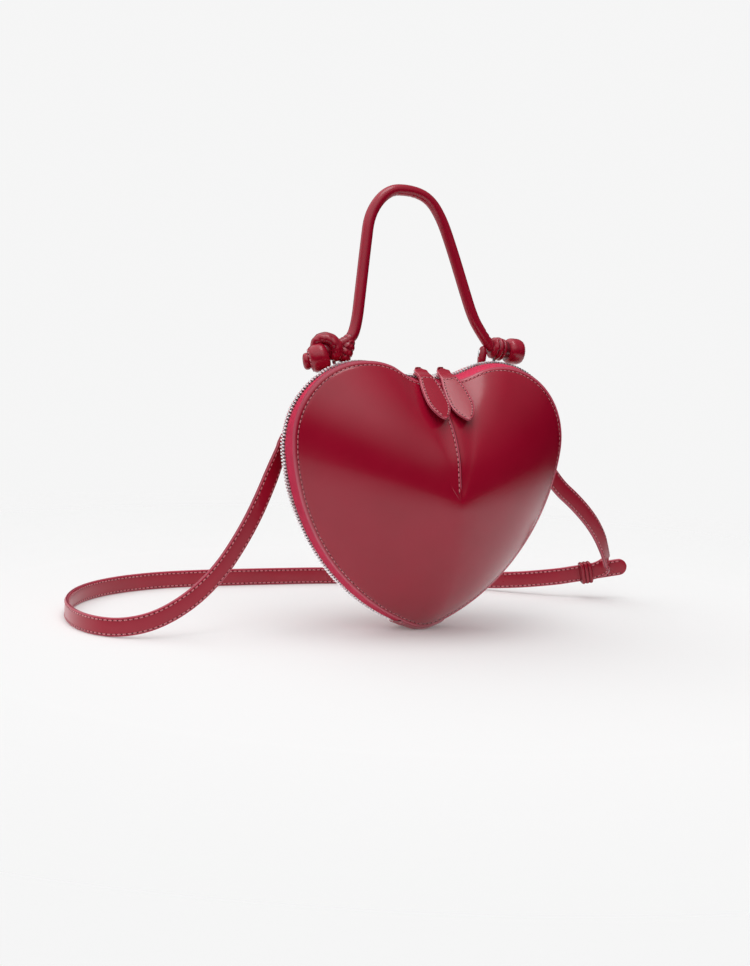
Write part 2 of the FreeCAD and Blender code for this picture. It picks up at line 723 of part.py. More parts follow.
def strap(name, route, facing):
    """Flat strap as a ruled loft of rectangles, starting flat on its anchor."""
    seat, toward, start_normal = anchor_frame(name)
    seat = seat + start_normal * (ANCHOR_WALL + STRAP_SEAT_GAP + STRAP_THICKNESS / 2)
    ends = [-STRAP_START_SHARE * ANCHOR_LENGTH, STRAP_LEAVE_SHARE * ANCHOR_LENGTH]
    points = [seat + toward * end for end in ends] + route
    radii = strap_radii(points)
    path = rounded_path(points, radii)
    sections = []
    for number, (point, along) in enumerate(strap_stations(path)):
        normal = start_normal if number < 2 else facing(along)
        normal = (normal - along * normal.dot(along)).normalize()
        width = along.cross(normal) * (STRAP_WIDTH / 2)
        deep = normal * (STRAP_THICKNESS / 2)
        corners = [point + width + deep, point + width - deep, point - width - deep, point - width + deep]
        sections.append(Part.makePolygon(corners + corners[:1]))
    solid = Part.makeLoft(sections, True, True)
    volume_share = solid.Volume / (STRAP_WIDTH * STRAP_THICKNESS * path.Length)
    print("strap", name, "length", round(path.Length, 1), "volume share", round(volume_share, 3))
    print("radii", [round(radius, 1) for radius in radii])
    return solid


def level_normal(along):
    """Horizontal face normal of a strap that stands on its edge."""
    return V(along.y, -along.x, 0)


def far_level_normal(along):
    """The same for the right branch, whose upper side turns away from the purse."""
    return -level_normal(along)


def keeper_frame():
    """Middle of the slide, between the long strap and the end of the short one in front of it."""
    first, last = [V(*point) for point in LONG_STRAP_ROUTE[-2:]]
    along = (last - first).normalize()
    normal = level_normal(along).normalize()
    middle = first + (last - first) * KEEPER_SHARE + normal * ((STRAP_THICKNESS + KEEPER_CLEARANCE) / 2)
    return middle, along, normal, along.cross(normal)


def tuck_points():
    """End of the short strap: it turns back into the slide, in front of the long strap."""
    middle, along, normal, _ = keeper_frame()
    layer = middle + normal * ((STRAP_THICKNESS + KEEPER_CLEARANCE) / 2)
    return [layer + along * TUCK_LEAD, layer - along * TUCK_END]


def strap_keeper():
    """Ridged leather slide round the long strap and the end of the short one."""
    inner_width = STRAP_WIDTH + 2 * KEEPER_CLEARANCE
    inner_depth = 2 * STRAP_THICKNESS + 3 * KEEPER_CLEARANCE
    outer_width = inner_width + 2 * KEEPER_WALL
    outer_depth = inner_depth + 2 * KEEPER_WALL
    step = KEEPER_LENGTH / KEEPER_RIDGES
    ridges = []
    for number in range(KEEPER_RIDGES):
        corner = V(-KEEPER_LENGTH / 2 + number * step, -outer_depth / 2, -outer_width / 2)
        ridge = Part.makeBox(step, outer_depth, outer_width, corner)
        ridges.append(ridge.makeFillet(KEEPER_WALL / 2, ridge.Edges))
    hole_length = KEEPER_LENGTH + 2 * OVERRUN
    hole = Part.makeBox(hole_length, inner_depth, inner_width, V(-hole_length / 2, -inner_depth / 2, -inner_width / 2))
    return in_frame(ridges[0].fuse(ridges[1:]).cut(hole), *keeper_frame())


def anchor_frame(name):
    """Seat, direction of the strap and normal of a strap end on the back dome."""
    angle = math.radians(ANCHOR_ANGLE_DEG[name])
    turn = math.radians(ANCHOR_TURN_DEG[name])
    point, along, up, normal = back_dome_frame(angle, ANCHOR_SHARES[name])
    toward = along * math.cos(turn) + up * math.sin(turn)
    seat = point + normal * ANCHOR_GAP
    if name == "left":
        seat, toward, normal = [V(-v.x, v.y, v.z) for v in (seat, toward, normal)]
    return seat, toward, normal


def strap_anchor(name):
    """Leather patch sewn to the back panel under the end of the strap."""
    seat, toward, normal = anchor_frame(name)
    patch = Part.makeBox(ANCHOR_LENGTH, ANCHOR_WALL, ANCHOR_WIDTH, V(-ANCHOR_LENGTH / 2, 0, -ANCHOR_WIDTH / 2))
    upright = [edge for edge in patch.Edges if edge.BoundBox.YLength > ANCHOR_WALL / 2]
    patch = patch.makeFillet(ANCHOR_WALL, upright)
    return in_frame(patch, seat, toward, normal, toward.cross(normal))


def behind(shape):
    return shape.mirror(V(0, 0, 0), V(0, 1, 0))


def main():
    os.makedirs("parts", exist_ok=True)
    nodes = {}
    nodes["front_panel"] = front_panel()
    nodes["front_lining"] = front_lining()
    nodes["front_zip_tape"] = front_zip_tape()
    nodes["front_zip_teeth"] = zip_teeth(-1)
    for name in ("panel", "lining", "zip_tape"):
        nodes["back_" + name] = behind(nodes["front_" + name])
    nodes["back_zip_teeth"] = zip_teeth(1)
    nodes["tip_hinge"] = hinge()
    body, bail, stop = slider_body(), slider_bail(), zip_stop()
    for name in ("left", "right"):
        nodes["slider_body_" + name] = on_slider(body, name)
        nodes["slider_bail_" + name] = on_slider(bail, name)
        nodes["zip_pull_" + name] = pull(name)
        nodes["zip_stop_" + name] = mirrored(stop) if name == "left" else stop
    for name, reach in RING_REACH.items():
        tied = knot(reach).cut(ring(reach, RING_WIRE_RADIUS + KNOT_RING_CLEARANCE))
        wire_ring = ring(reach, RING_WIRE_RADIUS)
        pieces = {"knot_": on_handle(tied), "ring_": on_handle(wire_ring), "ring_tab_": ring_tab(reach)}
        for piece, shape in pieces.items():
            nodes[piece + name] = mirrored(shape) if name == "left" else shape
    both_knots = [mirrored(knot(RING_REACH["left"])), knot(RING_REACH["right"])]
    path = handle_path()
    whole = tube_along(path, TUBE_RADIUS).cut(both_knots)
    core = tube_along(path, CORE_RADIUS).cut(both_knots)
    nodes["handle_tube"] = on_handle(whole.cut(core))
    nodes["handle_core"] = on_handle(core)
    nodes["strap_anchor_left"] = strap_anchor("left")
    nodes["strap_anchor_right"] = strap_anchor("right")
    nodes["strap_long"] = strap("left", [V(*point) for point in LONG_STRAP_ROUTE], level_normal)
    short_route = [V(*point) for point in SHORT_STRAP_ROUTE] + tuck_points()
    nodes["strap_short"] = strap("right", short_route, far_level_normal)
    nodes["strap_keeper"] = strap_keeper()
    for name, shape in nodes.items():
        shape.exportStep("parts/" + name + ".step")
        box = shape.optimalBoundingBox(True, False)
        spans = (box.XMin, box.XMax, box.YMin, box.YMax, box.ZMin, box.ZMax)
        print(name, len(shape.Solids), shape.isValid(), round(shape.Volume, 1), [round(span, 1) for span in spans])
    print("chain half length", round(chain_length(), 1))


main()
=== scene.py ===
# %% [markdown]
# A heart shaped clamshell purse in glossy wine-red leather: two domed panels with a sewn dart, a zip
# round the rim, a rolled handle knotted on two rings and a flat shoulder strap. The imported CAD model
# is the fixed frame. Metal pieces stay as they are and get a finish, and every leather or fabric piece
# is drawn again here as a thin, stitched surface in the place of its plain solid.

# %% Load the frame
import bmesh
import bpy
import numpy as np
from mathutils import Matrix


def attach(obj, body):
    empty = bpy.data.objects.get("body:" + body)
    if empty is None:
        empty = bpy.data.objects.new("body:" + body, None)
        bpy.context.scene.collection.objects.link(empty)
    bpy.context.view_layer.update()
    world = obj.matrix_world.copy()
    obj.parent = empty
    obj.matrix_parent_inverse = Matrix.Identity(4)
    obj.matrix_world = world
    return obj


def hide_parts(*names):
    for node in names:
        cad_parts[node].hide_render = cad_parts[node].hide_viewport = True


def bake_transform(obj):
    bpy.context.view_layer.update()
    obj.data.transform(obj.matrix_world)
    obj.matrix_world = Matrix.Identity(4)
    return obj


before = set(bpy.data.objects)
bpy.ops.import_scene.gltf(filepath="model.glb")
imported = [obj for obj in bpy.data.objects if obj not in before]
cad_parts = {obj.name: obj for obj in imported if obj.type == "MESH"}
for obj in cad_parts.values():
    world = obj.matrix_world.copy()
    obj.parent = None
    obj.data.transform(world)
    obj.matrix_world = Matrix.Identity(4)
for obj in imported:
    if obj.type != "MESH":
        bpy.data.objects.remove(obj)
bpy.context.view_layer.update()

MM = 0.001

# %% [markdown]
# The camera comes first, because every later choice is judged through it. The purse was photographed
# from its left and a little above, with the picture turned by under three degrees. The focal length is
# written in picture pixels and the place of the look point in the picture becomes the lens shift.

# %% Camera
IMAGE_SIZE = np.array([750.0, 966.0])
LOOK_PIXEL = np.array([422.5, 473.2])
LOOK_POINT = np.array([0.0, 0.0, 102.5]) * MM
FOCAL_PIXELS = 1989.0
CAMERA_DISTANCE = 1300.0 * MM
CAMERA_TURN = np.radians([-30.0, 7.0, 2.75])


def add_camera():
    """Camera axes from azimuth and elevation, then rolled in the picture's plane."""
    azimuth, elevation, roll = CAMERA_TURN
    level = np.cos(elevation)
    back = np.array([np.sin(azimuth) * level, -np.cos(azimuth) * level, np.sin(elevation)])
    right = np.cross(-back, [0.0, 0.0, 1.0])
    right /= np.linalg.norm(right)
    up = np.cross(right, -back)
    rolled_right = np.cos(roll) * right + np.sin(roll) * up
    rolled_up = np.cos(roll) * up - np.sin(roll) * right
    place = np.eye(4)
    place[:3, 0], place[:3, 1], place[:3, 2] = rolled_right, rolled_up, back
    place[:3, 3] = LOOK_POINT + CAMERA_DISTANCE * back
    lens = bpy.data.cameras.new("camera")
    long_side = IMAGE_SIZE.max()
    lens.lens = FOCAL_PIXELS * lens.sensor_width / long_side
    shift = (IMAGE_SIZE / 2 - LOOK_PIXEL) / long_side
    lens.shift_x, lens.shift_y = shift[0], -shift[1]
    camera = bpy.data.objects.new("camera", lens)
    camera.matrix_world = Matrix(place.tolist())
    bpy.context.scene.collection.objects.link(camera)
    bpy.context.scene.camera = camera
    return camera


camera = add_camera()
print("camera at", np.round(camera.matrix_world.translation, 3).tolist(), "lens", round(camera.data.lens, 2))

# %% [markdown]
# Every new piece is a grid of points worked out with numpy: rows by columns, joined by quads. A grid
# may close on itself sideways, as a tube does, and an open end may be closed by a fan of triangles.
# Values that the materials read, such as how far along a strap a point lies, go in as attributes.

# %% Grids to meshes
SHARP_ANGLE = np.radians(50.0)
TINY = 1e-12


def unit(vectors):
    """Vectors divided by their own length."""
    return vectors / np.maximum(np.linalg.norm(vectors, axis=-1, keepdims=True), TINY)


def smooth_step(value):
    """0 below 0, 1 above 1 and a smooth rise between."""
    value = np.clip(value, 0, 1)
    return value * value * (3 - 2 * value)


def circle(steps):
    """Angles once round, evenly spaced, without the last one, which is the first again."""
    return np.linspace(0, 2 * np.pi, steps + 1)[:-1]


def pressed(wave, power):
    """A sine or cosine pressed towards a square wave: its sign times a power of its size."""
    return np.sign(wave) * np.abs(wave) ** power


def run_along(line):
    """Distance of each point from the first, along the line."""
    return np.concatenate([[0.0], np.cumsum(np.linalg.norm(np.diff(line, axis=0), axis=1))])


def at_run(at, run, values):
    """Vectors of a line read at distances along it, between its points."""
    return np.stack([np.interp(at, run, values[:, axis]) for axis in range(3)], -1)


def grid_quads(rows, columns, around):
    """Quads between neighbouring rows and columns; around joins the last column to the first."""
    row = np.arange(rows - 1)[:, None]
    column = np.arange(columns if around else columns - 1)[None, :]
    following = (column + 1) % columns
    corners = [row * columns + column, row * columns + following, (row + 1) * columns + following,
               (row + 1) * columns + column]
    return np.stack(np.broadcast_arrays(*corners), -1).reshape(-1, 4)


def fan(first, columns, centre):
    """Triangles from each step of a row to one centre vertex."""
    column = np.arange(columns)
    return np.stack([first + column, first + (column + 1) % columns, np.full(columns, centre)], -1)


class Pile:
    """Vertices, faces and point values of several grids that become one mesh."""

    def __init__(self):
        self.points, self.faces, self.values, self.count = [], [], {}, 0

    def add(self, points, around=True, close_start=False, close_end=False, **values):
        """Append one grid of points (rows, columns, 3), in metres."""
        rows, columns = points.shape[:2]
        flat = points.reshape(-1, 3)
        ends = [points[row].mean(0) for row, closed in ((0, close_start), (-1, close_end)) if closed]
        self.faces.extend((grid_quads(rows, columns, around) + self.count).tolist())
        centre = self.count + rows * columns
        for first, closed in ((0, close_start), ((rows - 1) * columns, close_end)):
            if closed:
                self.faces.extend(fan(self.count + first, columns, centre).tolist())
                centre += 1
        for name, value in values.items():
            full = np.broadcast_to(value, (rows, columns))
            tips = [full[row].mean() for row, closed in ((0, close_start), (-1, close_end)) if closed]
            self.values.setdefault(name, []).append(np.concatenate([full.ravel(), tips]))
        self.points.append(np.concatenate([flat, np.array(ends).reshape(-1, 3)]))
        self.count += len(self.points[-1])
        return self

    def build(self, name, body, slot, material):
        """The finished object, with outward faces, riding on a body of the frame if one is named."""
        mesh = bpy.data.meshes.new(name)
        mesh.from_pydata(np.concatenate(self.points).tolist(), [], self.faces)
        for value_name, parts in self.values.items():
            attribute = mesh.attributes.new(value_name, "FLOAT", "POINT")
            attribute.data.foreach_set("value", np.concatenate(parts).astype(np.float32))
        work = bmesh.new()
        work.from_mesh(mesh)
        bmesh.ops.recalc_face_normals(work, faces=work.faces)
        work.to_mesh(mesh)
        work.free()
        mesh.shade_smooth()
        mesh.set_sharp_from_angle(angle=SHARP_ANGLE)
        piece = bpy.data.objects.new(name, mesh)
        bpy.context.scene.collection.objects.link(piece)
        if body:
            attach(piece, body)
        mesh.materials.append(material)
        print(name, len(mesh.vertices), "vertices")
        return piece


# %% [markdown]
# Stitches are small sausages of thread laid end to end, with a tiny dark dome between each two: the
# painted shade of a needle hole.
# An array along a curve could lay them, but its tilt would have to follow the leather. Here one sausage is
# a template grid, and numpy places all copies of a row at once from its points, directions and normals.

# %% Stitches
STITCH_ANGLES = np.linspace(-np.pi / 2, np.pi / 2, 6)
STITCH_ROUND = circle(6)
THREAD_FLATNESS_SHARE = 0.8
HOLE_RING_SHARES = np.array([1.0, 0.6])[:, None]
HOLE_LIFT_SHARES = np.array([0.0, 1.0])[:, None]


def resample(line, spacing, ends=0.0):
    """Points at an even spacing along a line of points, with their directions and distances."""
    run = run_along(line)
    count = max(int((run[-1] - 2 * ends) / spacing), 1)
    at = ends + (np.arange(count) + 0.5) * (run[-1] - 2 * ends) / count
    ahead, behind = at_run(at + spacing / 4, run, line), at_run(at - spacing / 4, run, line)
    return at_run(at, run, line), unit(ahead - behind), at, run


def placed(points, axes, reaches):
    """A template grid at every point: its reaches, each along one of the point's own axes, added up."""
    shape = points[:, None, None]
    for axis, reach in zip(axes, reaches):
        shape = shape + axis[:, None, None] * reach[None, :, :, None]
    return shape


def stitches(pile, points, along, normals, length, radius):
    """Capsules: half length times sine along the thread, radius times a root of cosine across it."""
    side = unit(np.cross(normals, along))
    level = unit(np.cross(along, side))
    reach = np.sin(STITCH_ANGLES)[:, None] * length / 2
    thick = np.sqrt(np.abs(np.cos(STITCH_ANGLES)))[:, None] * radius
    across = thick * np.cos(STITCH_ROUND)
    lift = thick * np.sin(STITCH_ROUND) * THREAD_FLATNESS_SHARE
    for capsule in placed(points, (along, side, level), (reach + 0 * across, across, lift)):
        pile.add(capsule)


def hole_shade_domes(pile, points, along, normals, radius, height):
    """Low dark domes between the stitches, the painted shade of each needle hole: two rings and a crown for
    each.
    """
    side = unit(np.cross(normals, along))
    reach = HOLE_RING_SHARES * radius * np.cos(STITCH_ROUND)
    across = HOLE_RING_SHARES * radius * np.sin(STITCH_ROUND)
    lift = HOLE_LIFT_SHARES * height + 0 * across
    for hole in placed(points, (along, side, normals), (reach, across, lift)):
        pile.add(hole, close_end=True)


# %% [markdown]
# Finishes. The leather is smooth and glossy: its colour and gloss drift a little from place to place, and
# it waves so faintly that only reflections show it. That grain is one node group that every leather uses
# with its own values. A second group reads attributes on the pieces: pale edges, partly edge paint and
# partly a painted highlight, and painted shade in folds, grooves, seams and gaps.
# The zip tape has a ribbed twill, and the metal faint scratches. Noise keeps mostly near its middle, so its
# middle span is stretched to the whole.

# %% Node groups
NOISE_MIDDLE = (0.3, 0.7)
DRIFT_SCALE, WAVE_SCALE, GLOSS_SCALE = 26.0, 130.0, 60.0
GLOSS_DRIFT_SHARES = (0.9, 1.12)
RIB_SLANT, RIB_LEVEL, THREAD_LEVEL = 0.9, 0.5, 0.2
SCRATCH_STRETCH, SCRATCH_SCALE, SMUDGE_SCALE = (1.0, 6.0, 1.0), 900.0, 140.0
SMUDGE_SHARES = (0.75, 1.3)
MIX_FIRST, MIX_SECOND, MIX_RESULT = 6, 7, 2


def new_group(name, inputs, outputs):
    """Empty shader group with named float, colour or vector sockets."""
    group = bpy.data.node_groups.new(name, "ShaderNodeTree")
    for direction, sockets in (("INPUT", inputs), ("OUTPUT", outputs)):
        for label, kind in sockets:
            group.interface.new_socket(label, in_out=direction, socket_type="NodeSocket" + kind)
    entry = group.nodes.new("NodeGroupInput")
    leave = group.nodes.new("NodeGroupOutput")
    return group, entry.outputs, leave.inputs


def add_node(tree, kind, **settings):
    """Add a node and set its fields."""
    node = tree.nodes.new("ShaderNode" + kind)
    for label, value in settings.items():
        setattr(node, label, value)
    return node


def feed(tree, target, source):
    """Link a socket, or set the input's own value."""
    if isinstance(source, bpy.types.NodeSocket):
        tree.links.new(source, target)
    else:
        target.default_value = source


def noise(tree, vector, scale, detail=3.0):
    """Output of a noise texture on a vector."""
    node = add_node(tree, "TexNoise")
    feed(tree, node.inputs["Vector"], vector)
    feed(tree, node.inputs["Scale"], scale)
    feed(tree, node.inputs["Detail"], detail)
    return node.outputs["Fac"]


def span(tree, value, low, high, new_low, new_high):
    """Value mapped from one span to another, clamped."""
    node = add_node(tree, "MapRange")
    labels = ("Value", "From Min", "From Max", "To Min", "To Max")
    for label, source in zip(labels, (value, low, high, new_low, new_high)):
        feed(tree, node.inputs[label], source)
    return node.outputs["Result"]


def mix_colour(tree, share, first, second):
    """Colour mix by a share; the node's colour sockets are found by their places."""
    node = add_node(tree, "Mix", data_type="RGBA")
    feed(tree, node.inputs["Factor"], share)
    feed(tree, node.inputs[MIX_FIRST], first)
    feed(tree, node.inputs[MIX_SECOND], second)
    return node.outputs[MIX_RESULT]


def maths(tree, operation, first, second=0.0):
    """One step of arithmetic."""
    node = add_node(tree, "Math", operation=operation)
    feed(tree, node.inputs[0], first)
    feed(tree, node.inputs[1], second)
    return node.outputs["Value"]


def leather_group():
    """Colour drift from slow noise, a faint waviness and uneven gloss, for any smooth leather."""
    tree, entry, leave = new_group(
        "smooth_leather",
        [("Vector", "Vector"), ("Colour", "Color"), ("Deep Colour", "Color"), ("Gloss", "Float")],
        [("Colour", "Color"), ("Roughness", "Float"), ("Height", "Float")],
    )
    drift = span(tree, noise(tree, entry["Vector"], DRIFT_SCALE), *NOISE_MIDDLE, 0.0, 1.0)
    feed(tree, leave["Colour"], mix_colour(tree, drift, entry["Deep Colour"], entry["Colour"]))
    feed(tree, leave["Height"], noise(tree, entry["Vector"], WAVE_SCALE, detail=1.0))
    patch = span(tree, noise(tree, entry["Vector"], GLOSS_SCALE), *NOISE_MIDDLE, *GLOSS_DRIFT_SHARES)
    feed(tree, leave["Roughness"], maths(tree, "MULTIPLY", patch, entry["Gloss"]))
    return tree


def edge_and_shade_group():
    """Pale edges, partly edge paint and partly a painted highlight, take an edge colour; folds take a darker
    one, painted shade.
    """
    tree, entry, leave = new_group(
        "edge_and_painted_shade",
        [("Colour", "Color"), ("Edge Colour", "Color"), ("Fold Colour", "Color"),
         ("Edge", "Float"), ("Fold", "Float")],
        [("Colour", "Color")],
    )
    edged = mix_colour(tree, entry["Edge"], entry["Colour"], entry["Edge Colour"])
    feed(tree, leave["Colour"], mix_colour(tree, entry["Fold"], edged, entry["Fold Colour"]))
    return tree


def weave_group():
    """Slanted ribs crossed by fine threads, from a run along the cloth and a place across it."""
    tree, entry, leave = new_group(
        "ribbed_weave",
        [("Run", "Float"), ("Across", "Float"), ("Ribs", "Float")],
        [("Height", "Float"), ("Shade", "Float")],
    )
    slant = maths(tree, "ADD", entry["Run"], maths(tree, "MULTIPLY", entry["Across"], RIB_SLANT))
    rib = maths(tree, "SINE", maths(tree, "MULTIPLY", slant, entry["Ribs"]))
    counter = maths(tree, "SUBTRACT", entry["Across"], entry["Run"])
    thread = maths(tree, "SINE", maths(tree, "MULTIPLY", counter, entry["Ribs"]))
    ribs = maths(tree, "MULTIPLY", rib, RIB_LEVEL)
    both = maths(tree, "ADD", ribs, maths(tree, "MULTIPLY", thread, THREAD_LEVEL))
    top = RIB_LEVEL + THREAD_LEVEL
    feed(tree, leave["Height"], both)
    feed(tree, leave["Shade"], span(tree, both, -top, top, 0.0, 1.0))
    return tree


def scratch_group():
    """Fine scratches stretched along one axis, and slow smudges."""
    tree, entry, leave = new_group(
        "worn_metal",
        [("Vector", "Vector"), ("Gloss", "Float")],
        [("Roughness", "Float"), ("Height", "Float"), ("Tone", "Float")],
    )
    stretch = add_node(tree, "Mapping")
    feed(tree, stretch.inputs["Vector"], entry["Vector"])
    stretch.inputs["Scale"].default_value = SCRATCH_STRETCH
    lines = noise(tree, stretch.outputs["Vector"], SCRATCH_SCALE, detail=4.0)
    smudge = noise(tree, entry["Vector"], SMUDGE_SCALE)
    feed(tree, leave["Height"], lines)
    feed(tree, leave["Tone"], span(tree, smudge, *NOISE_MIDDLE, 0.0, 1.0))
    uneven = span(tree, smudge, *NOISE_MIDDLE, *SMUDGE_SHARES)
    feed(tree, leave["Roughness"], maths(tree, "MULTIPLY", uneven, entry["Gloss"]))
    return tree


LEATHER, EDGE_AND_SHADE, WEAVE, SCRATCH = leather_group(), edge_and_shade_group(), weave_group(), scratch_group()
print("node groups", [group.name for group in bpy.data.node_groups])

# %% [markdown]
# Each finish is one material with a Principled shader. What stays the same all over is set on the shader's
# own sockets, and what varies over the surface comes in from textures and groups. The leathers differ in
# gloss only. A bump is given as its strength and its height in metres.

# %% Materials
WINE = (0.42, 0.005, 0.03, 1.0)
DEEP_WINE = (0.37, 0.004, 0.025, 1.0)
# Pale edge colour: partly edge paint, partly a painted highlight on edges and on the dart's fold.
EDGE_AND_HIGHLIGHT_RED = (0.68, 0.12, 0.18, 1.0)
# Painted shade: the dark colour of folds, grooves, seams and gaps between parts.
PAINTED_SHADE_RED = (0.05, 0.001, 0.005, 1.0)
PINK_THREAD = (0.9, 0.42, 0.46, 1.0)
CRIMSON = (0.84, 0.018, 0.1, 1.0)
DARK_CRIMSON = (0.52, 0.01, 0.055, 1.0)
LINING_ROSE = (0.28, 0.03, 0.055, 1.0)
DARK_ROSE = (0.16, 0.015, 0.03, 1.0)
CORD_CREAM = (0.7, 0.64, 0.53, 1.0)
CORD_BROWN = (0.45, 0.4, 0.32, 1.0)
ZIP_PALE = (0.96, 0.96, 0.97, 1.0)
ZIP_GREY = (0.88, 0.88, 0.9, 1.0)
RING_PALE = (0.82, 0.82, 0.84, 1.0)
RING_GREY = (0.68, 0.68, 0.7, 1.0)
# Painted shade of each needle hole: the colours of the small dark domes laid there.
HOLE_BROWN = (0.035, 0.001, 0.004, 1.0)
HOLE_BLACK = (0.02, 0.001, 0.003, 1.0)
LEATHER_BUMP, METAL_BUMP, THREAD_BUMP = (0.05, 0.0002), (0.08, 0.00005), (0.4, 0.0002)
CLOTH_BUMP_HEIGHT, CLOTH_DRIFT_SCALE, CLOTH_GLOSS_RISE = 0.0003, 90.0, 0.1
CLOTH_DRIFT_SHARES, WEAVE_SHARE = (0.15, 0.45), 0.6
CLOTH_SHEEN, CLOTH_SHEEN_ROUGHNESS = 0.1, 0.4
STRAND_SCALE, STRAND_ROUGHNESS = 900.0, (0.6, 0.45)


def new_material(name):
    """Material with a Principled shader, its tree and object coordinates."""
    material = bpy.data.materials.new(name)
    material.use_nodes = True
    tree = material.node_tree
    shader = tree.nodes["Principled BSDF"]
    place = add_node(tree, "TexCoord").outputs["Object"]
    return material, tree, shader, place


def place_group(tree, group, **sockets):
    """One use of a group; underscores in the names stand for spaces."""
    node = add_node(tree, "Group", node_tree=group)
    for label, source in sockets.items():
        feed(tree, node.inputs[label.replace("_", " ")], source)
    return node.outputs


def attribute(tree, name):
    """A piece's own point value."""
    return add_node(tree, "Attribute", attribute_name=name).outputs["Fac"]


def bump(tree, shader, height, strength, distance):
    """Bump from a height to the shader's normal."""
    node = add_node(tree, "Bump")
    node.inputs["Strength"].default_value = strength
    node.inputs["Distance"].default_value = distance
    feed(tree, node.inputs["Height"], height)
    feed(tree, shader.inputs["Normal"], node.outputs["Normal"])


def leather(name, gloss):
    """Smooth wine-red leather with pale edges, partly edge paint and partly a painted highlight, and painted
    shade in its folds.
    """
    material, tree, shader, place = new_material(name)
    grain = place_group(tree, LEATHER, Vector=place, Colour=WINE, Deep_Colour=DEEP_WINE, Gloss=gloss)
    # The fold attribute carries painted shade; the edge attribute carries the pale edges and painted
    # highlight.
    wear_and_painted_light = place_group(tree, EDGE_AND_SHADE, Colour=grain["Colour"], Edge_Colour=EDGE_AND_HIGHLIGHT_RED, Fold_Colour=PAINTED_SHADE_RED,
                       Edge=attribute(tree, "edge"), Fold=attribute(tree, "fold"))
    feed(tree, shader.inputs["Base Color"], wear_and_painted_light["Colour"])
    feed(tree, shader.inputs["Roughness"], grain["Roughness"])
    bump(tree, shader, grain["Height"], *LEATHER_BUMP)
    return material


shell_leather = leather("shell_leather", gloss=0.22)
trim_leather = leather("trim_leather", gloss=0.25)
handle_leather = leather("handle_leather", gloss=0.24)
strap_leather = leather("strap_leather", gloss=0.3)


def woven(name, colour, dark, ribs, strength, gloss):
    """Woven cloth whose ribs follow the piece's run and across values."""
    material, tree, shader, place = new_material(name)
    weave = place_group(tree, WEAVE, Run=attribute(tree, "run"), Across=attribute(tree, "across"), Ribs=ribs)
    drift = span(tree, noise(tree, place, CLOTH_DRIFT_SCALE), *NOISE_MIDDLE, *CLOTH_DRIFT_SHARES)
    share = maths(tree, "ADD", maths(tree, "MULTIPLY", weave["Shade"], WEAVE_SHARE), drift)
    feed(tree, shader.inputs["Base Color"], mix_colour(tree, share, dark, colour))
    roughness = span(tree, weave["Shade"], 0.0, 1.0, gloss + CLOTH_GLOSS_RISE, gloss)
    feed(tree, shader.inputs["Roughness"], roughness)
    bump(tree, shader, weave["Height"], strength, CLOTH_BUMP_HEIGHT)
    shader.inputs["Sheen Weight"].default_value = CLOTH_SHEEN
    shader.inputs["Sheen Roughness"].default_value = CLOTH_SHEEN_ROUGHNESS
    return material


tape_cloth = woven("tape_cloth", CRIMSON, DARK_CRIMSON, ribs=5200.0, strength=0.6, gloss=0.7)
lining_cloth = woven("lining_cloth", LINING_ROSE, DARK_ROSE, ribs=6000.0, strength=0.35, gloss=0.55)
core_cord = woven("core_cord", CORD_CREAM, CORD_BROWN, ribs=3000.0, strength=0.6, gloss=0.8)


def metal(name, light, dark, gloss):
    """Polished plated metal with faint scratches."""
    material, tree, shader, place = new_material(name)
    wear_and_painted_light = place_group(tree, SCRATCH, Vector=place, Gloss=gloss)
    feed(tree, shader.inputs["Base Color"], mix_colour(tree, wear_and_painted_light["Tone"], dark, light))
    feed(tree, shader.inputs["Roughness"], wear_and_painted_light["Roughness"])
    shader.inputs["Metallic"].default_value = 1.0
    bump(tree, shader, wear_and_painted_light["Height"], *METAL_BUMP)
    return material


zip_metal = metal("zip_metal", ZIP_PALE, ZIP_GREY, gloss=0.42)
ring_metal = metal("ring_metal", RING_PALE, RING_GREY, gloss=0.16)


def thread(name, colour, dark):
    """Twisted sewing thread: fine slanted strands."""
    material, tree, shader, place = new_material(name)
    strands = add_node(tree, "TexWave", wave_type="BANDS", bands_direction="DIAGONAL")
    feed(tree, strands.inputs["Vector"], place)
    strands.inputs["Scale"].default_value = STRAND_SCALE
    feed(tree, shader.inputs["Base Color"], mix_colour(tree, strands.outputs["Fac"], dark, colour))
    feed(tree, shader.inputs["Roughness"], span(tree, strands.outputs["Fac"], 0.0, 1.0, *STRAND_ROUGHNESS))
    bump(tree, shader, strands.outputs["Fac"], *THREAD_BUMP)
    return material


stitch_thread = thread("stitch_thread", PINK_THREAD, WINE)
hole_shade = thread("hole_shade", HOLE_BROWN, HOLE_BLACK)
print("materials", len(bpy.data.materials))

# %% [markdown]
# The heart's outline is four tangent arcs for each half: the notch, the lobe, the long side and the
# tip. The same radii are in the CAD source. A panel is this outline drawn in towards the peak while it
# rises, and towards the peak the notch gets sharper and the tip rounder. All rows are computed at once:
# the arcs' centres, radii and angles are arrays over the rows, and the place on an arc is an array over
# the columns.

# %% Heart outline
PANEL_WIDTH, PANEL_HEIGHT = 200.0 * MM, 171.0 * MM
LOBE_RADIUS, SIDE_RADIUS = 50.0 * MM, 139.5 * MM
NOTCH_RADII = np.array([40.0, 72.0]) * MM
TIP_RADII = np.array([62.0, 23.0]) * MM
STAND, PEAK_HEIGHT, PEAK_RISE, HALF_GUSSET = 2.5 * MM, 86.5 * MM, 41.0 * MM, 11.0 * MM
CONE_SHARE, SOFT_PEAK, EDGE_POWER = 0.65, 0.19, 4
LOBE = (PANEL_WIDTH / 2 - LOBE_RADIUS, PANEL_HEIGHT - LOBE_RADIUS)
NOTCH_STEPS = np.array([0, 0.009, 0.02, 0.036, 0.06, 0.09, 0.13, 0.18, 0.24, 0.31, 0.39, 0.48,
                        0.58, 0.68, 0.79, 0.9])
LOBE_STEPS = np.linspace(0, 1, 41)[:-1]
SIDE_STEPS = np.linspace(0, 1, 43)[:-1]
TIP_STEPS = np.linspace(0, 1, 13)


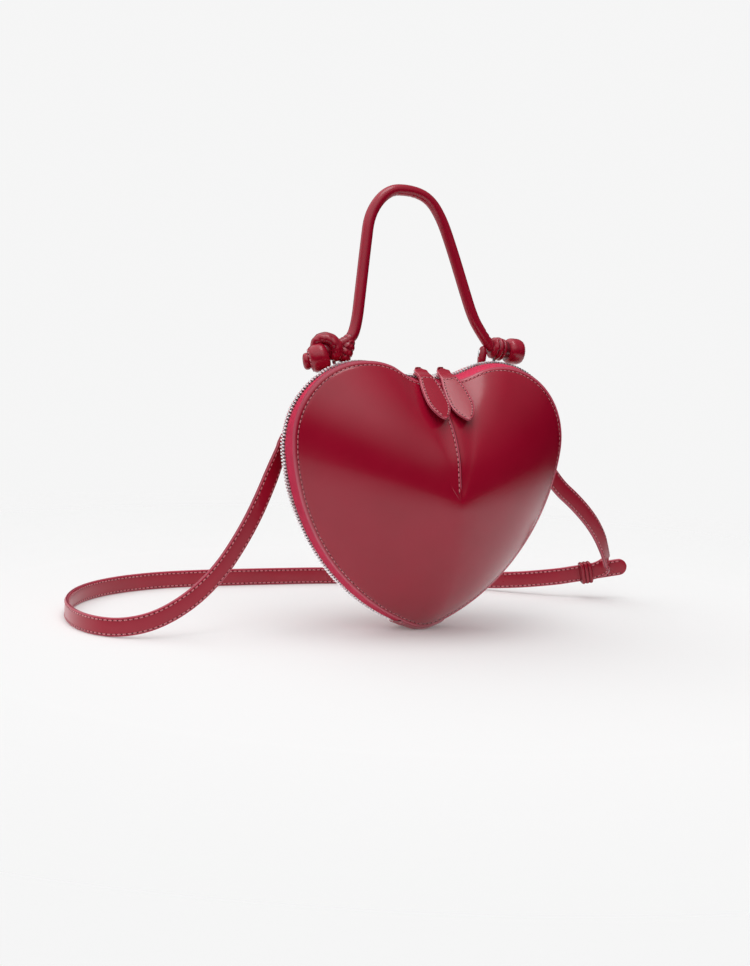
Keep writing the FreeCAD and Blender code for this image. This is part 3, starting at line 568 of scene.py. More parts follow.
def half_arcs(offset, share):
    """Centre, radius, first and last angle of notch, lobe, side and tip, each an array over the rows."""
    notch_radius = NOTCH_RADII[0] + share * (NOTCH_RADII[1] - NOTCH_RADII[0])
    tip_radius = TIP_RADII[0] + share * (TIP_RADII[1] - TIP_RADII[0])
    zero = 0 * share
    notch_z = LOBE[1] + np.sqrt((notch_radius + LOBE_RADIUS) ** 2 - LOBE[0] ** 2)
    toward_z = LOBE[1] - tip_radius
    apart = np.hypot(LOBE[0], toward_z)
    to_tip, to_lobe = SIDE_RADIUS - tip_radius, SIDE_RADIUS - LOBE_RADIUS
    along = (apart ** 2 + to_tip ** 2 - to_lobe ** 2) / (2 * apart)
    across = np.sqrt(to_tip ** 2 - along ** 2)
    turn = np.arctan2(toward_z, LOBE[0])
    side_x = along * np.cos(turn) - across * np.sin(turn)
    side_z = tip_radius + along * np.sin(turn) + across * np.cos(turn)
    down = zero - np.pi / 2
    notch_end = np.arctan2(LOBE[1] - notch_z, LOBE[0])
    lobe_end = np.arctan2(LOBE[1] - side_z, LOBE[0] - side_x)
    side_end = np.arctan2(tip_radius - side_z, -side_x)
    return [
        (zero, notch_z, notch_radius - offset, down, notch_end),
        (zero + LOBE[0], zero + LOBE[1], LOBE_RADIUS + offset, notch_end + np.pi, lobe_end),
        (side_x, side_z, SIDE_RADIUS + offset, lobe_end, side_end),
        (zero, tip_radius, tip_radius + offset, side_end, down),
    ]


def half_rows(offset, share, steps):
    """Right half of the outline: x and z over rows and columns, not yet drawn in."""
    xs, zs = [], []
    for (x, z, radius, first, last), step in zip(half_arcs(offset, share), steps):
        angle = first[:, None] + step[None, :] * (last - first)[:, None]
        xs.append(x[:, None] + radius[:, None] * np.cos(angle))
        zs.append(z[:, None] + radius[:, None] * np.sin(angle))
    return np.concatenate(xs, 1), np.concatenate(zs, 1)


def draw_in(x, z, share):
    """Outline points moved towards the peak by the row's share."""
    share = share[:, None]
    return x * share, STAND + PEAK_HEIGHT + share * (z - PEAK_HEIGHT)


def heart_rows(offset, share):
    """Whole outline, once round from the notch over the right lobe, tip and left lobe."""
    offset, share = np.broadcast_arrays(np.asarray(offset, float), np.asarray(share, float))
    x, z = half_rows(offset, share, (NOTCH_STEPS, LOBE_STEPS, SIDE_STEPS, TIP_STEPS))
    x = np.concatenate([x, -x[:, -2:0:-1]], 1)
    z = np.concatenate([z, z[:, -2:0:-1]], 1)
    return draw_in(x, z, share)


def rise(share):
    """Height of the dome: a soft cone plus a flat top that falls off near the edge."""
    cone = 1 - (np.hypot(share, SOFT_PEAK) - SOFT_PEAK) / (np.hypot(1, SOFT_PEAK) - SOFT_PEAK)
    return CONE_SHARE * cone + (1 - CONE_SHARE) * (1 - share ** EDGE_POWER)


# %% [markdown]
# A panel: the dome's outside from the peak to the rim, the rolled rim, and the inside back to the peak,
# so that it is one closed shell. The dart is a lapped seam from the notch to the peak. On its left the
# leather is folded over and stands proud, on its right it drops into a small valley, and under both the
# dome is a little fuller. A painted highlight runs along the fold's edge, and painted shade along the seam.
# Near the rim the row of stitches pulls a shallow groove into the leather, which takes painted shade, and
# the rim is pale, partly edge paint and partly a painted highlight. Sewn leather isn't exact: at the left
# lobe the front rim rolls outward and the back rim is drawn in.

# %% Panels
EDGE_WALL, LEATHER_WALL = 2.4 * MM, 2.0 * MM
OUTER_SHARES = np.array([0.015, 0.03, 0.045, 0.06, 0.08, 0.1, 0.13, 0.16, 0.2, 0.24, 0.28, 0.32, 0.36, 0.4,
                         0.44, 0.48, 0.52, 0.56, 0.6, 0.64, 0.68, 0.72, 0.76, 0.8, 0.83, 0.86, 0.885, 0.905,
                         0.92, 0.935, 0.947, 0.956, 0.963, 0.967, 0.97, 0.9725, 0.975, 0.978, 0.982,
                         0.987, 0.992])
RIM_OFFSETS = np.array([-0.02, -0.06, -0.16, -0.4, -1.0, -1.7, -2.4]) * MM
RIM_DEPTHS = np.array([0.5, 0.25, 0.1, 0.02, 0.0, 0.0, 0.0]) * MM
INNER_SHARES = np.array([0.9, 0.8, 0.66, 0.5, 0.35, 0.2, 0.08])
STITCH_SHARE = 0.9725
GROOVE_DEPTH, GROOVE_SHARE = 0.4 * MM, 0.004
DART_RISE, DART_DROP = 0.9 * MM, 0.4 * MM
DART_FADE, DART_VALLEY, DART_ROUND = 6.0 * MM, 2.6 * MM, 0.45 * MM
DART_ENDS = (0.03, 0.14)
# Place and width of the painted highlight beside the dart's fold.
DART_HIGHLIGHT_X, DART_HIGHLIGHT_WIDTH = -0.9 * MM, 0.65 * MM
KEEL_RISE, KEEL_WIDTH, KEEL_START = 4.0 * MM, 16.0 * MM, 30.0 * MM
PAINT_START_SHARE, PAINT_RUN_SHARE = 0.984, 0.006
GROOVE_SHADE, SEAM_SHADE, SEAM_WIDTH = 0.35, 0.8, 0.5 * MM
NOTCH_COLUMNS = len(NOTCH_STEPS) + len(LOBE_STEPS) // 3
FRONT_ROLL = dict(top=3.2 * MM, side=0.7 * MM, corner=2.6 * MM, power=5)
BACK_ROLL = dict(top=0.0, side=-2.65 * MM, corner=0.0, power=12)
ROLLS = {1: FRONT_ROLL, -1: BACK_ROLL}
ROLL_FADE, ROLL_LOW = np.array([-12.0, -34.0]) * MM, np.array([22.0, 55.0]) * MM


def dart_height(x, share):
    """Fold left of the seam: rises in a rounded step and fades; valley right of it; nothing past the peak."""
    fold = DART_RISE * (1 - np.exp(-(x / DART_ROUND) ** 2)) * np.exp(-(x / DART_FADE) ** 2)
    valley = DART_DROP * np.exp(-(x / DART_VALLEY) ** 2)
    ends = smooth_step((share - DART_ENDS[0]) / (DART_ENDS[1] - DART_ENDS[0]))
    return np.where(x < 0, fold - valley * np.exp(-(x / DART_ROUND) ** 2), -valley) * ends


def keel(x, z, share):
    """Fuller leather under the dart: highest on the seam and halfway from the peak to the notch."""
    above = smooth_step((z - STAND - PEAK_HEIGHT) / KEEL_START)
    return KEEL_RISE * np.exp(-(x / KEEL_WIDTH) ** 2) * above * (4 * share * (1 - share)) ** 2


def upper_columns(columns):
    """1 on the columns of the notch and the lobes' inner thirds, where the dart runs, else 0."""
    index = np.arange(columns)
    return ((index < NOTCH_COLUMNS) | (index > columns - NOTCH_COLUMNS)).astype(float)


def rolled(x, z, share, top, side, corner, power):
    """Soft rim of the left lobe: moved along the outline's normal, by amounts for where it faces up,
    left or both."""
    across = np.roll(x, -1, 1) - np.roll(x, 1, 1)
    down = np.roll(z, -1, 1) - np.roll(z, 1, 1)
    length = np.maximum(np.hypot(across, down), TINY)
    out_x, out_z = -down / length, across / length
    upward, leftward = np.clip(out_z, 0, 1), np.clip(-out_x, 0, 1)
    fade = smooth_step((x - ROLL_FADE[0]) / (ROLL_FADE[1] - ROLL_FADE[0]))
    fade = fade * smooth_step((z - ROLL_LOW[0]) / (ROLL_LOW[1] - ROLL_LOW[0])) * share[:, None] ** power
    amount = fade * (top * upward + side * leftward + corner * upward * leftward)
    return x + out_x * amount, z + out_z * amount


def dome_points(share, inset=0.0, peak=PEAK_RISE, detail=True, roll=None):
    """Front dome at these shares: outline drawn in, y from the rise, with dart and stitch groove."""
    share = np.asarray(share, float)
    x, z = heart_rows(-inset, share)
    x, z = rolled(x, z, share, **roll) if roll else (x, z)
    out = HALF_GUSSET + peak * rise(share)[:, None] + keel(x, z, share[:, None])
    if detail:
        out = out + dart_height(x, share[:, None]) * upper_columns(x.shape[1])
        out = out - GROOVE_DEPTH * np.exp(-(((share - STITCH_SHARE) / GROOVE_SHARE) ** 2))[:, None]
    return np.stack([x, -out, z], -1)


def panel(side):
    """Closed shell of one panel; side 1 is the front, -1 the back."""
    roll = ROLLS[side]
    outer = dome_points(OUTER_SHARES, roll=roll)
    x, z = rolled(*heart_rows(RIM_OFFSETS, np.ones(len(RIM_OFFSETS))), np.ones(len(RIM_OFFSETS)), **roll)
    rim = np.stack([x, -HALF_GUSSET - RIM_DEPTHS[:, None] + 0 * x, z], -1)
    inner = dome_points(INNER_SHARES, EDGE_WALL, PEAK_RISE - LEATHER_WALL, False, roll)
    shell = np.concatenate([outer, rim, inner])
    unseen = np.zeros(len(rim) + len(inner))
    on_dart = np.concatenate([OUTER_SHARES > DART_ENDS[1], unseen])[:, None] * upper_columns(shell.shape[1])
    # Painted light: a highlight along the dart fold's edge, shade in the seam and the stitch groove, and a
    # rim that is partly edge paint and partly a painted highlight.
    pale = np.exp(-(((shell[..., 0] - DART_HIGHLIGHT_X) / DART_HIGHLIGHT_WIDTH) ** 2)) * on_dart
    seam = np.exp(-((shell[..., 0] / SEAM_WIDTH) ** 2)) * on_dart
    paint = np.clip((OUTER_SHARES - PAINT_START_SHARE) / PAINT_RUN_SHARE, 0, 1)
    edge = np.maximum(np.concatenate([paint, np.ones(len(rim)), np.zeros(len(inner))])[:, None], pale)
    groove = np.concatenate([np.exp(-(((OUTER_SHARES - STITCH_SHARE) / GROOVE_SHARE) ** 2)), unseen])
    fold = np.maximum(groove[:, None] * GROOVE_SHADE, seam * SEAM_SHADE)
    shell = shell * np.array([1.0, side, 1.0])
    return Pile().add(shell, close_start=True, close_end=True, edge=edge, fold=fold)


front_panel = panel(1).build("front_panel_leather", "front_shell", "shell_leather", shell_leather)
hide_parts("front_panel")
back_panel = panel(-1).build("back_panel_leather", "back_shell", "shell_leather", shell_leather)
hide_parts("back_panel")

# %% [markdown]
# The rim's stitches follow the groove, and the dart's stitches follow its folded edge. Normals come from
# the surface itself: the direction along the row crossed with the direction between two nearby rows.

# %% Panel stitches
STITCH_PITCH, STITCH_LENGTH, STITCH_RADIUS = 3.2 * MM, 2.3 * MM, 0.46 * MM
HOLE_RADIUS, HOLE_HEIGHT = 0.46 * MM, 0.14 * MM
DART_STITCH_X = -2.3 * MM
DART_STITCH_SHARES = np.linspace(0.1, 0.955, 160)
NEAR_SHARES, NEAR_REACH = np.array([-0.003, 0.0, 0.003]), 0.5 * MM


def rim_line(share, roll):
    """Closed line of the dome at one share, and its outward normals."""
    near = dome_points(share + NEAR_SHARES, roll=roll)
    line = np.concatenate([near[1], near[1, :1]])
    along = unit(np.roll(near[1], -1, 0) - np.roll(near[1], 1, 0))
    normals = unit(np.cross(along, near[2] - near[0]))
    normals = np.where((normals[:, 1] > 0)[:, None], -normals, normals)
    return line, np.concatenate([normals, normals[:1]])


def interpolate(at, run, values):
    """Directions of a line between its points."""
    return unit(at_run(at, run, values))


def dart_line():
    """Line beside the dart on its folded side, with normals from two neighbouring lines."""
    x = DART_STITCH_X * np.ones_like(DART_STITCH_SHARES)
    base = dome_points(DART_STITCH_SHARES)
    columns = base.shape[1]
    order = np.arange(-NOTCH_COLUMNS, NOTCH_COLUMNS) % columns
    strip = base[:, order]
    pick = [np.array([np.interp(value, row[:, 0], row[:, axis]) for value, row in zip(x + shift, strip)])
            for shift in (-NEAR_REACH, 0, NEAR_REACH) for axis in range(3)]
    left, line, right = (np.stack(pick[n:n + 3], -1) for n in (0, 3, 6))
    along = unit(np.gradient(line, axis=0))
    normals = unit(np.cross(along, right - left))
    return line, np.where((normals[:, 1] > 0)[:, None], -normals, normals)


def sew(threads, shade_domes, line, line_normals, side=1, pitch=STITCH_PITCH, length=STITCH_LENGTH, ends=0.0):
    """Stitches along a line of points, with a dark dome of painted shade at each needle hole between them."""
    flip = np.array([1.0, side, 1.0])
    points, along, at, run = resample(line, pitch, ends)
    normals = interpolate(at, run, line_normals)
    stitches(threads, points * flip, along * flip, normals * flip, length, STITCH_RADIUS)
    gaps, gap_along, gap_at, _ = resample(line, pitch, ends - pitch / 2)
    gap_normals = interpolate(gap_at, run, line_normals)
    hole_shade_domes(shade_domes, gaps * flip, gap_along * flip, gap_normals * flip, HOLE_RADIUS, HOLE_HEIGHT)


def build_sewing(threads, shade_domes, names, body, slot):
    """The thread of one sewn piece and its dark domes of painted needle-hole shade, as two pieces with these
    names.
    """
    return [threads.build(names[0], body, slot, stitch_thread), shade_domes.build(names[1], body, slot, hole_shade)]


def panel_sewing(side, body, name):
    """Rim row and dart row of one panel, as one thread piece and one piece of painted needle-hole shade."""
    threads, shade_domes = Pile(), Pile()
    line, normals = rim_line(STITCH_SHARE, ROLLS[side])
    sew(threads, shade_domes, line, normals, side)
    line, normals = dart_line()
    sew(threads, shade_domes, line, normals, side)
    build_sewing(threads, shade_domes, (name + "_stitches", name + "_needle_holes"), body, "shell_leather")


panel_sewing(1, "front_shell", "front_panel")
panel_sewing(-1, "back_shell", "back_panel")

# %% [markdown]
# Between the panels run the two zip tapes. Each is a closed thin strip: a profile that bulges from under
# the panel's rim out to the teeth, carried round the outline as far as the hinge at the tip. The lining
# inside each panel is a thinner dome of satin cloth.

# %% Zip tapes and linings
ZIP_END_HALF, TAPE_WALL = 16.0 * MM, 0.8 * MM
TAPE_OFFSETS = np.array([-0.8, -0.62, -0.4, -0.15, 0.15, 0.55, 1.05, 1.35, 1.55]) * MM
TAPE_DEPTHS = np.array([11.0, 9.9, 8.8, 7.6, 6.4, 5.2, 4.0, 3.2, 2.45]) * MM
TAPE_ROLLS = {1: dict(FRONT_ROLL, top=0.0, side=0.0, corner=0.0), -1: dict(BACK_ROLL, power=4.4)}
TAPE_STEPS = (np.linspace(0, 1, 25)[:-1], np.linspace(0, 1, 71)[:-1], np.linspace(0, 1, 81))
TAPE_MIDDLE = 4
LINING_GAP, LINING_WALL = 0.3 * MM, 0.8 * MM
LINING_SHARES = np.array([0.04, 0.1, 0.2, 0.3, 0.4, 0.5, 0.6, 0.7, 0.8, 0.88, 0.94, 0.98, 1.0])


def tape_line(offset):
    """One line of the tape round the outline at an offset, ending beside the hinge at the tip."""
    arcs = half_arcs(np.atleast_1d(offset), np.ones(1))[:3]
    x, z, radius, first, _ = arcs[2]
    arcs[2] = (x, z, radius, first, -np.arccos((ZIP_END_HALF - x) / radius))
    angle = [first + step * (last - first) for (_, _, _, first, last), step in zip(arcs, TAPE_STEPS)]
    xs = np.concatenate([x + radius * np.cos(a) for (x, _, radius, _, _), a in zip(arcs, angle)])
    zs = np.concatenate([z + radius * np.sin(a) for (_, z, radius, _, _), a in zip(arcs, angle)])
    return np.concatenate([-xs[:0:-1], xs]), STAND + np.concatenate([zs[:0:-1], zs])


def tape(side):
    """Outer and inner lines of the profile as one closed section, swept along the outline."""
    lines = [tape_line(offset) for offset in np.concatenate([TAPE_OFFSETS, TAPE_OFFSETS[::-1] - TAPE_WALL])]
    depth = np.concatenate([TAPE_DEPTHS, TAPE_DEPTHS[::-1]])
    x = np.stack([line[0] for line in lines])
    z = np.stack([line[1] for line in lines])
    x, z = rolled(x, z, depth / HALF_GUSSET, **TAPE_ROLLS[side])
    points = np.stack([x.T, -side * depth[None, :] + 0 * x.T, z.T], -1)
    run = run_along(points[:, TAPE_MIDDLE])
    return Pile().add(points, close_start=True, close_end=True, run=run[:, None], across=depth[None, :])


def lining(side):
    """Two thin domes joined at the rim."""
    inset = EDGE_WALL + LINING_GAP
    peak = PEAK_RISE - LEATHER_WALL - LINING_GAP
    outer = dome_points(LINING_SHARES, inset, peak, False, ROLLS[side])
    inner = dome_points(LINING_SHARES[::-1], inset + LINING_WALL, peak - LINING_WALL, False, ROLLS[side])
    points = np.concatenate([outer, inner]) * np.array([1.0, side, 1.0])
    return Pile().add(points, close_start=True, close_end=True, run=points[..., 0], across=points[..., 2])


for side, shell in ((1, "front"), (-1, "back")):
    piece = tape(side).build(shell + "_tape_cloth", shell + "_shell", "zip_tape", tape_cloth)
    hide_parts(shell + "_zip_tape")
    piece = lining(side).build(shell + "_lining_cloth", shell + "_shell", "lining_fabric", lining_cloth)
    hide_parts(shell + "_lining")

# %% [markdown]
# Under the tip a leather strip joins the two panels. It is the fold that the purse opens on; here it is
# one fixed piece that rides on neither shell.

# %% Tip hinge
HINGE_HALF, HINGE_WALL = 15.6 * MM, 2.2 * MM
HINGE_OFFSETS = np.array([0.4, 1.3, 2.2, 2.8, 3.05, 3.1, 3.1, 3.05, 2.8, 2.2, 1.3, 0.4]) * MM
HINGE_DEPTHS = np.array([-10.7, -9.6, -8.5, -7.3, -5.5, -2.0, 2.0, 5.5, 7.3, 8.5, 9.6, 10.9]) * MM
FLOOR_GAP = 0.05 * MM
FLANK_SHARES = np.linspace(-1, 1, 61)
HINGE_PAINT, HINGE_PAINT_START = 0.6, 9.0 * MM


def hinge_line(offset):
    """Line of the outline under the tip at an offset, from left to right."""
    arcs = half_arcs(np.atleast_1d(offset), np.ones(1))
    (sx, sz, side_radius, _, side_end), (_, tz, tip_radius, _, _) = arcs[2], arcs[3]
    x = FLANK_SHARES * HINGE_HALF
    on_tip = tz - np.sqrt(np.maximum(tip_radius ** 2 - x ** 2, 0))
    on_side = sz - np.sqrt(np.maximum(side_radius ** 2 - (np.abs(x) - sx) ** 2, 0))
    return x, STAND + np.where(np.abs(x) < tip_radius * np.cos(side_end), on_tip, on_side)


def hinge():
    """Closed strip: the outer profile and a thinner inner one, swept from flank to flank."""
    offsets = np.concatenate([HINGE_OFFSETS, HINGE_OFFSETS[::-1] - HINGE_WALL])
    depths = np.concatenate([HINGE_DEPTHS, HINGE_DEPTHS[::-1]])
    lines = [hinge_line(offset) for offset in offsets]
    x = np.stack([line[0] for line in lines], 1)
    z = np.maximum(np.stack([line[1] for line in lines], 1), FLOOR_GAP)
    points = np.stack([x, depths[None, :] + 0 * x, z], -1)
    # Pale edges of the strip, partly edge paint and partly a painted highlight.
    edge = (np.abs(depths) > HINGE_PAINT_START) * HINGE_PAINT
    return Pile().add(points, close_start=True, close_end=True, edge=edge[None, :], fold=0.0)


tip_hinge = hinge().build("tip_hinge_leather", None, "shell_leather", shell_leather)
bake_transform(tip_hinge)
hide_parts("tip_hinge")

# %% [markdown]
# The strap is a fixed length of flat leather cord. Its route repeats the points of the CAD source as the
# control points of a smooth spline, and Blender gives back the points of that spline. A flat section is
# carried along them later. A few points are added on the last run, so that the strap lies straight in its
# slide.

# %% Strap routes
STRAP_WIDTH, STRAP_THICKNESS = 12.0 * MM, 2.8 * MM
ANCHOR_LENGTH, ANCHOR_WIDTH, ANCHOR_WALL, ANCHOR_GAP, SEAT_GAP = np.array([18.0, 16.0, 1.5, 0.4, 0.3]) * MM
ANCHORS = {"left": np.radians([30.0, 0.0]), "right": np.radians([8.0, -28.0])}
ANCHOR_SHARES = {"left": 0.82, "right": 0.88}
SEATED_SHARES = (-0.35, 1.0)
SLOPE_SHARE = 0.01
POINT_GAP, ROUTE_RESOLUTION = 1e-6, 24
LONG_ROUTE = np.array([
    (-94.5, 23.0, 109.0), (-104.0, 20.5, 88.5), (-112.0, 19.0, 73.0), (-121.5, 17.5, 58.0),
    (-133.0, 16.0, 42.5), (-147.5, 15.0, 28.5), (-163.5, 15.5, 17.5), (-180.0, 17.5, 10.0),
    (-196.5, 23.0, 6.5), (-208.5, 34.5, 6.1), (-214.0, 55.0, 6.1), (-211.5, 82.0, 6.1),
    (-200.5, 112.0, 6.1), (-180.0, 141.0, 6.1), (-150.0, 162.0, 6.1), (-113.0, 172.5, 6.1),
    (-75.0, 172.0, 6.1), (-35.0, 167.0, 6.1), (8.0, 160.5, 6.1), (45.0, 151.0, 6.1), (78.0, 135.5, 6.1),
    (107.0, 114.0, 6.4), (132.0, 91.0, 9.0), (155.0, 68.5, 14.5), (202.0, 46.5, 24.5),
]) * MM
SHORT_ROUTE = np.array([
    (106.5, 20.2, 105.5), (122.5, 23.0, 87.8), (139.0, 26.2, 76.6), (155.5, 29.8, 63.0),
    (168.0, 34.2, 49.8), (177.0, 39.0, 37.0),
]) * MM
TAIL_SHARES = np.array([0.2, 0.55, 0.87, 0.95])[:, None]
KEEPER_SHARE, KEEPER_CLEARANCE = 0.42, 0.3 * MM
TUCK_LEAD, TUCK_END = 16.6 * MM, 3.9 * MM


def lobe_point(angle, share):
    """Point of the back dome, drawn in from the right lobe's arc at this angle."""
    x = LOBE[0] + LOBE_RADIUS * np.cos(angle)
    z = LOBE[1] + LOBE_RADIUS * np.sin(angle)
    y = HALF_GUSSET + PEAK_RISE * rise(share)
    return np.array([x * share, y, STAND + PEAK_HEIGHT + share * (z - PEAK_HEIGHT)])


def anchor_frame(name):
    """Seat, strap direction and normal of a strap end on the back dome."""
    angle, turn = ANCHORS[name]
    share = ANCHOR_SHARES[name]
    along = np.array([np.sin(angle), 0.0, -np.cos(angle)])
    slope = lobe_point(angle, share - SLOPE_SHARE) - lobe_point(angle, share + SLOPE_SHARE)
    normal = unit(np.cross(along, slope))
    normal = -normal if normal[1] < 0 else normal
    up = np.cross(normal, along)
    toward = along * np.cos(turn) + up * np.sin(turn)
    seat = lobe_point(angle, share) + normal * ANCHOR_GAP
    flip = np.array([-1.0, 1.0, 1.0]) if name == "left" else np.ones(3)
    return seat * flip, toward * flip, normal * flip


def anchored(name):
    """The first two points of a strap, one over its anchor and one past the anchor's end."""
    seat, toward, normal = anchor_frame(name)
    seat = seat + normal * (ANCHOR_WALL + SEAT_GAP + STRAP_THICKNESS / 2)
    return np.array([seat + toward * share * ANCHOR_LENGTH for share in SEATED_SHARES])


def keeper_frame():
    """Middle, direction, face normal and width direction of the slide on the long strap."""
    first, last = LONG_ROUTE[-2:]
    along = unit(last - first)
    normal = unit(np.array([along[1], -along[0], 0.0]))
    middle = first + (last - first) * KEEPER_SHARE + normal * (STRAP_THICKNESS + KEEPER_CLEARANCE) / 2
    return middle, along, normal, np.cross(along, normal)


def spline_points(name, points, resolution=ROUTE_RESOLUTION):
    """Points of the NURBS spline of order 3 that has the route as its control points."""
    curve = bpy.data.curves.new(name, "CURVE")
    curve.dimensions = "3D"
    curve.resolution_u = resolution
    spline = curve.splines.new("NURBS")
    spline.points.add(len(points) - 1)
    weighted = np.concatenate([points, np.ones((len(points), 1))], 1)
    spline.points.foreach_set("co", weighted.astype(np.float32).ravel())
    spline.order_u = 3
    spline.use_endpoint_u = True
    holder = bpy.data.objects.new(name, curve)
    bpy.context.scene.collection.objects.link(holder)
    bpy.context.view_layer.update()
    mesh = bpy.data.meshes.new_from_object(holder.evaluated_get(bpy.context.evaluated_depsgraph_get()))
    line = np.empty(len(mesh.vertices) * 3, np.float32)
    mesh.vertices.foreach_get("co", line)
    bpy.data.objects.remove(holder)
    bpy.data.meshes.remove(mesh)
    line = line.reshape(-1, 3).astype(float)
    kept = np.concatenate([[True], np.linalg.norm(np.diff(line, axis=0), axis=1) > POINT_GAP])
    return line[kept]


keeper_middle, keeper_along, keeper_normal, keeper_width = keeper_frame()
tuck_layer = keeper_middle + keeper_normal * (STRAP_THICKNESS + KEEPER_CLEARANCE) / 2
tuck_points = np.array([tuck_layer + keeper_along * TUCK_LEAD, tuck_layer - keeper_along * TUCK_END])
tail_points = LONG_ROUTE[-2] + TAIL_SHARES * (LONG_ROUTE[-1] - LONG_ROUTE[-2])
long_points = np.concatenate([anchored("left"), LONG_ROUTE[:-1], tail_points, LONG_ROUTE[-1:]])
long_line = spline_points("long_route", long_points)
short_line = spline_points("short_route", np.concatenate([anchored("right"), SHORT_ROUTE, tuck_points]))
print("strap lengths", round(run_along(long_line)[-1], 4), round(run_along(short_line)[-1], 4))

# %% [markdown]
# The strap is two sewn layers, so its edge has a groove between them, and the faces swell a little between
# the stitch lines. A curve with a bevel could draw it too, but would need a tilt at every point: the strap
# starts flat on its anchor and then stands on its edge. So the section is carried along with a face normal
# that turns from one to the other.

# %% Straps
STRAP_TURN = 26.0 * MM
SECTION_STEPS = 36
LAYER_GROOVE = 0.32 * MM
STRAP_STITCH_INSET, STRAP_PITCH, STRAP_STITCH = 1.6 * MM, 3.3 * MM, 2.3 * MM
TAIL_ROUND = 6.0 * MM
FACE_SWELL = 0.25 * MM
SECTION_POWERS = (0.28, 0.42)
GROOVE_SPREAD, GROOVE_START_SHARE, STRAP_GROOVE_SHADE = 0.35 * MM, 0.4, 0.9
TAIL_END_SHARE, TAIL_THIN_SHARE, TAIL_SEWN_SHARE = 0.995, 0.55, 0.8
EDGE_START_SHARE, EDGE_RUN_SHARE, STRAP_PAINT = 0.42, 0.06, 0.7


def strap_frames(line, start_normal, facing):
    """Directions, face normals and width directions along a strap; it turns from its seat to its own lie."""
    along = unit(np.gradient(line, axis=0))
    run = run_along(line)
    share = smooth_step((run - ANCHOR_LENGTH) / STRAP_TURN)[:, None]
    normal = (1 - share) * start_normal + share * facing(along)
    normal = unit(normal - along * np.sum(normal * along, 1, keepdims=True))
    return along, normal, np.cross(along, normal), run


def flat_section(width, thickness):
    """Rounded flat section: a superellipse with a groove at mid thickness and faces that swell a little."""
    turn = circle(SECTION_STEPS)
    across = pressed(np.cos(turn), SECTION_POWERS[0]) * width / 2
    deep = pressed(np.sin(turn), SECTION_POWERS[1]) * thickness / 2
    deep = deep + np.sign(deep) * FACE_SWELL * np.cos(across / width * np.pi) ** 2
    groove = np.exp(-((deep / GROOVE_SPREAD) ** 2)) * (np.abs(across) > GROOVE_START_SHARE * width)
    return across - np.sign(across) * LAYER_GROOVE * groove, deep, groove


def painted(across, width):
    """1 at the pale edges of a flat strip, partly edge paint and partly a painted highlight, and 0 on its
    faces.
    """
    return np.clip((np.abs(across) / width - EDGE_START_SHARE) / EDGE_RUN_SHARE, 0, 1)


def level_facing(along):
    """Horizontal face normal of a strap that stands on its edge."""
    return unit(np.stack([along[:, 1], -along[:, 0], 0 * along[:, 0]], -1))


def far_facing(along):
    """The same for the right branch, whose upper side turns away from the purse."""
    return -level_facing(along)


def tail_width(run, tail):
    """Width share: 1, and a half round over the last few millimetres of a strap with a tail."""
    past = np.clip((run - (run[-1] - TAIL_ROUND)) / TAIL_ROUND, 0, TAIL_END_SHARE) if tail else 0 * run
    return np.sqrt(1 - past ** 2)


def strap(name, line, start_normal, facing, node, tail):
    """Flat section carried along the spline, with two rows of stitches on each face."""
    along, normal, width, run = strap_frames(line, start_normal, facing)
    across, deep, groove = flat_section(STRAP_WIDTH, STRAP_THICKNESS - 2 * FACE_SWELL)
    size = tail_width(run, tail)
    thin = TAIL_THIN_SHARE + (1 - TAIL_THIN_SHARE) * size
    points = (line[:, None] + width[:, None] * across[None, :, None] * size[:, None, None]
              + normal[:, None] * deep[None, :, None] * thin[:, None, None])
    # Pale edges, partly edge paint and partly a painted highlight, and painted shade in the groove between
    # the layers.
    edge = painted(across, STRAP_WIDTH) * STRAP_PAINT
    fold = groove * STRAP_GROOVE_SHADE
    pile = Pile().add(points, close_start=True, close_end=True, edge=edge[None, :], fold=fold[None, :])
    piece = pile.build(name + "_leather", "back_shell", "strap_leather", strap_leather)
    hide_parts(node)
    threads, shade_domes = Pile(), Pile()
    keep = run < run[-1] - (TAIL_ROUND if tail else 0) * TAIL_SEWN_SHARE
    for face in (1, -1):
        for side in (1, -1):
            shift = (width * side * (STRAP_WIDTH / 2 - STRAP_STITCH_INSET)
                     + normal * face * (STRAP_THICKNESS - FACE_SWELL) / 2)
            sew(threads, shade_domes, (line + shift)[keep], (normal * face)[keep], 1, STRAP_PITCH, STRAP_STITCH)
    names = (name + "_stitches", name + "_needle_holes")
    return piece, build_sewing(threads, shade_domes, names, "back_shell", "strap_leather")


left_normal, right_normal = anchor_frame("left")[2], anchor_frame("right")[2]
long_strap, long_sewing = strap("long_strap", long_line, left_normal, level_facing, "strap_long", True)
short_strap, short_sewing = strap("short_strap", short_line, right_normal, far_facing, "strap_short", False)

# %% [markdown]
# The slide that holds the strap's length is a leather band wound three times round both layers. Round
# each turn the section is a soft rectangle, and along the strap its size swells and pinches, so the
# turns show as ridges, with painted shade in the pinches between them.

# %% Strap slide
KEEPER_LENGTH, KEEPER_WALL, KEEPER_RIDGES = 8.4 * MM, 1.6 * MM, 3
KEEPER_FLARE, KEEPER_LEAN = 0.5 * MM, 0.6 * MM
KEEPER_STEPS, KEEPER_CORNER_POWER, KEEPER_END_POWER, HUMP_POWER = 48, 0.45, 12, 0.5
KEEPER_THIN_SHARE, KEEPER_SHADE, KEEPER_GAPS, FLARE_POWER = 0.5, 0.7, 1.5, 3


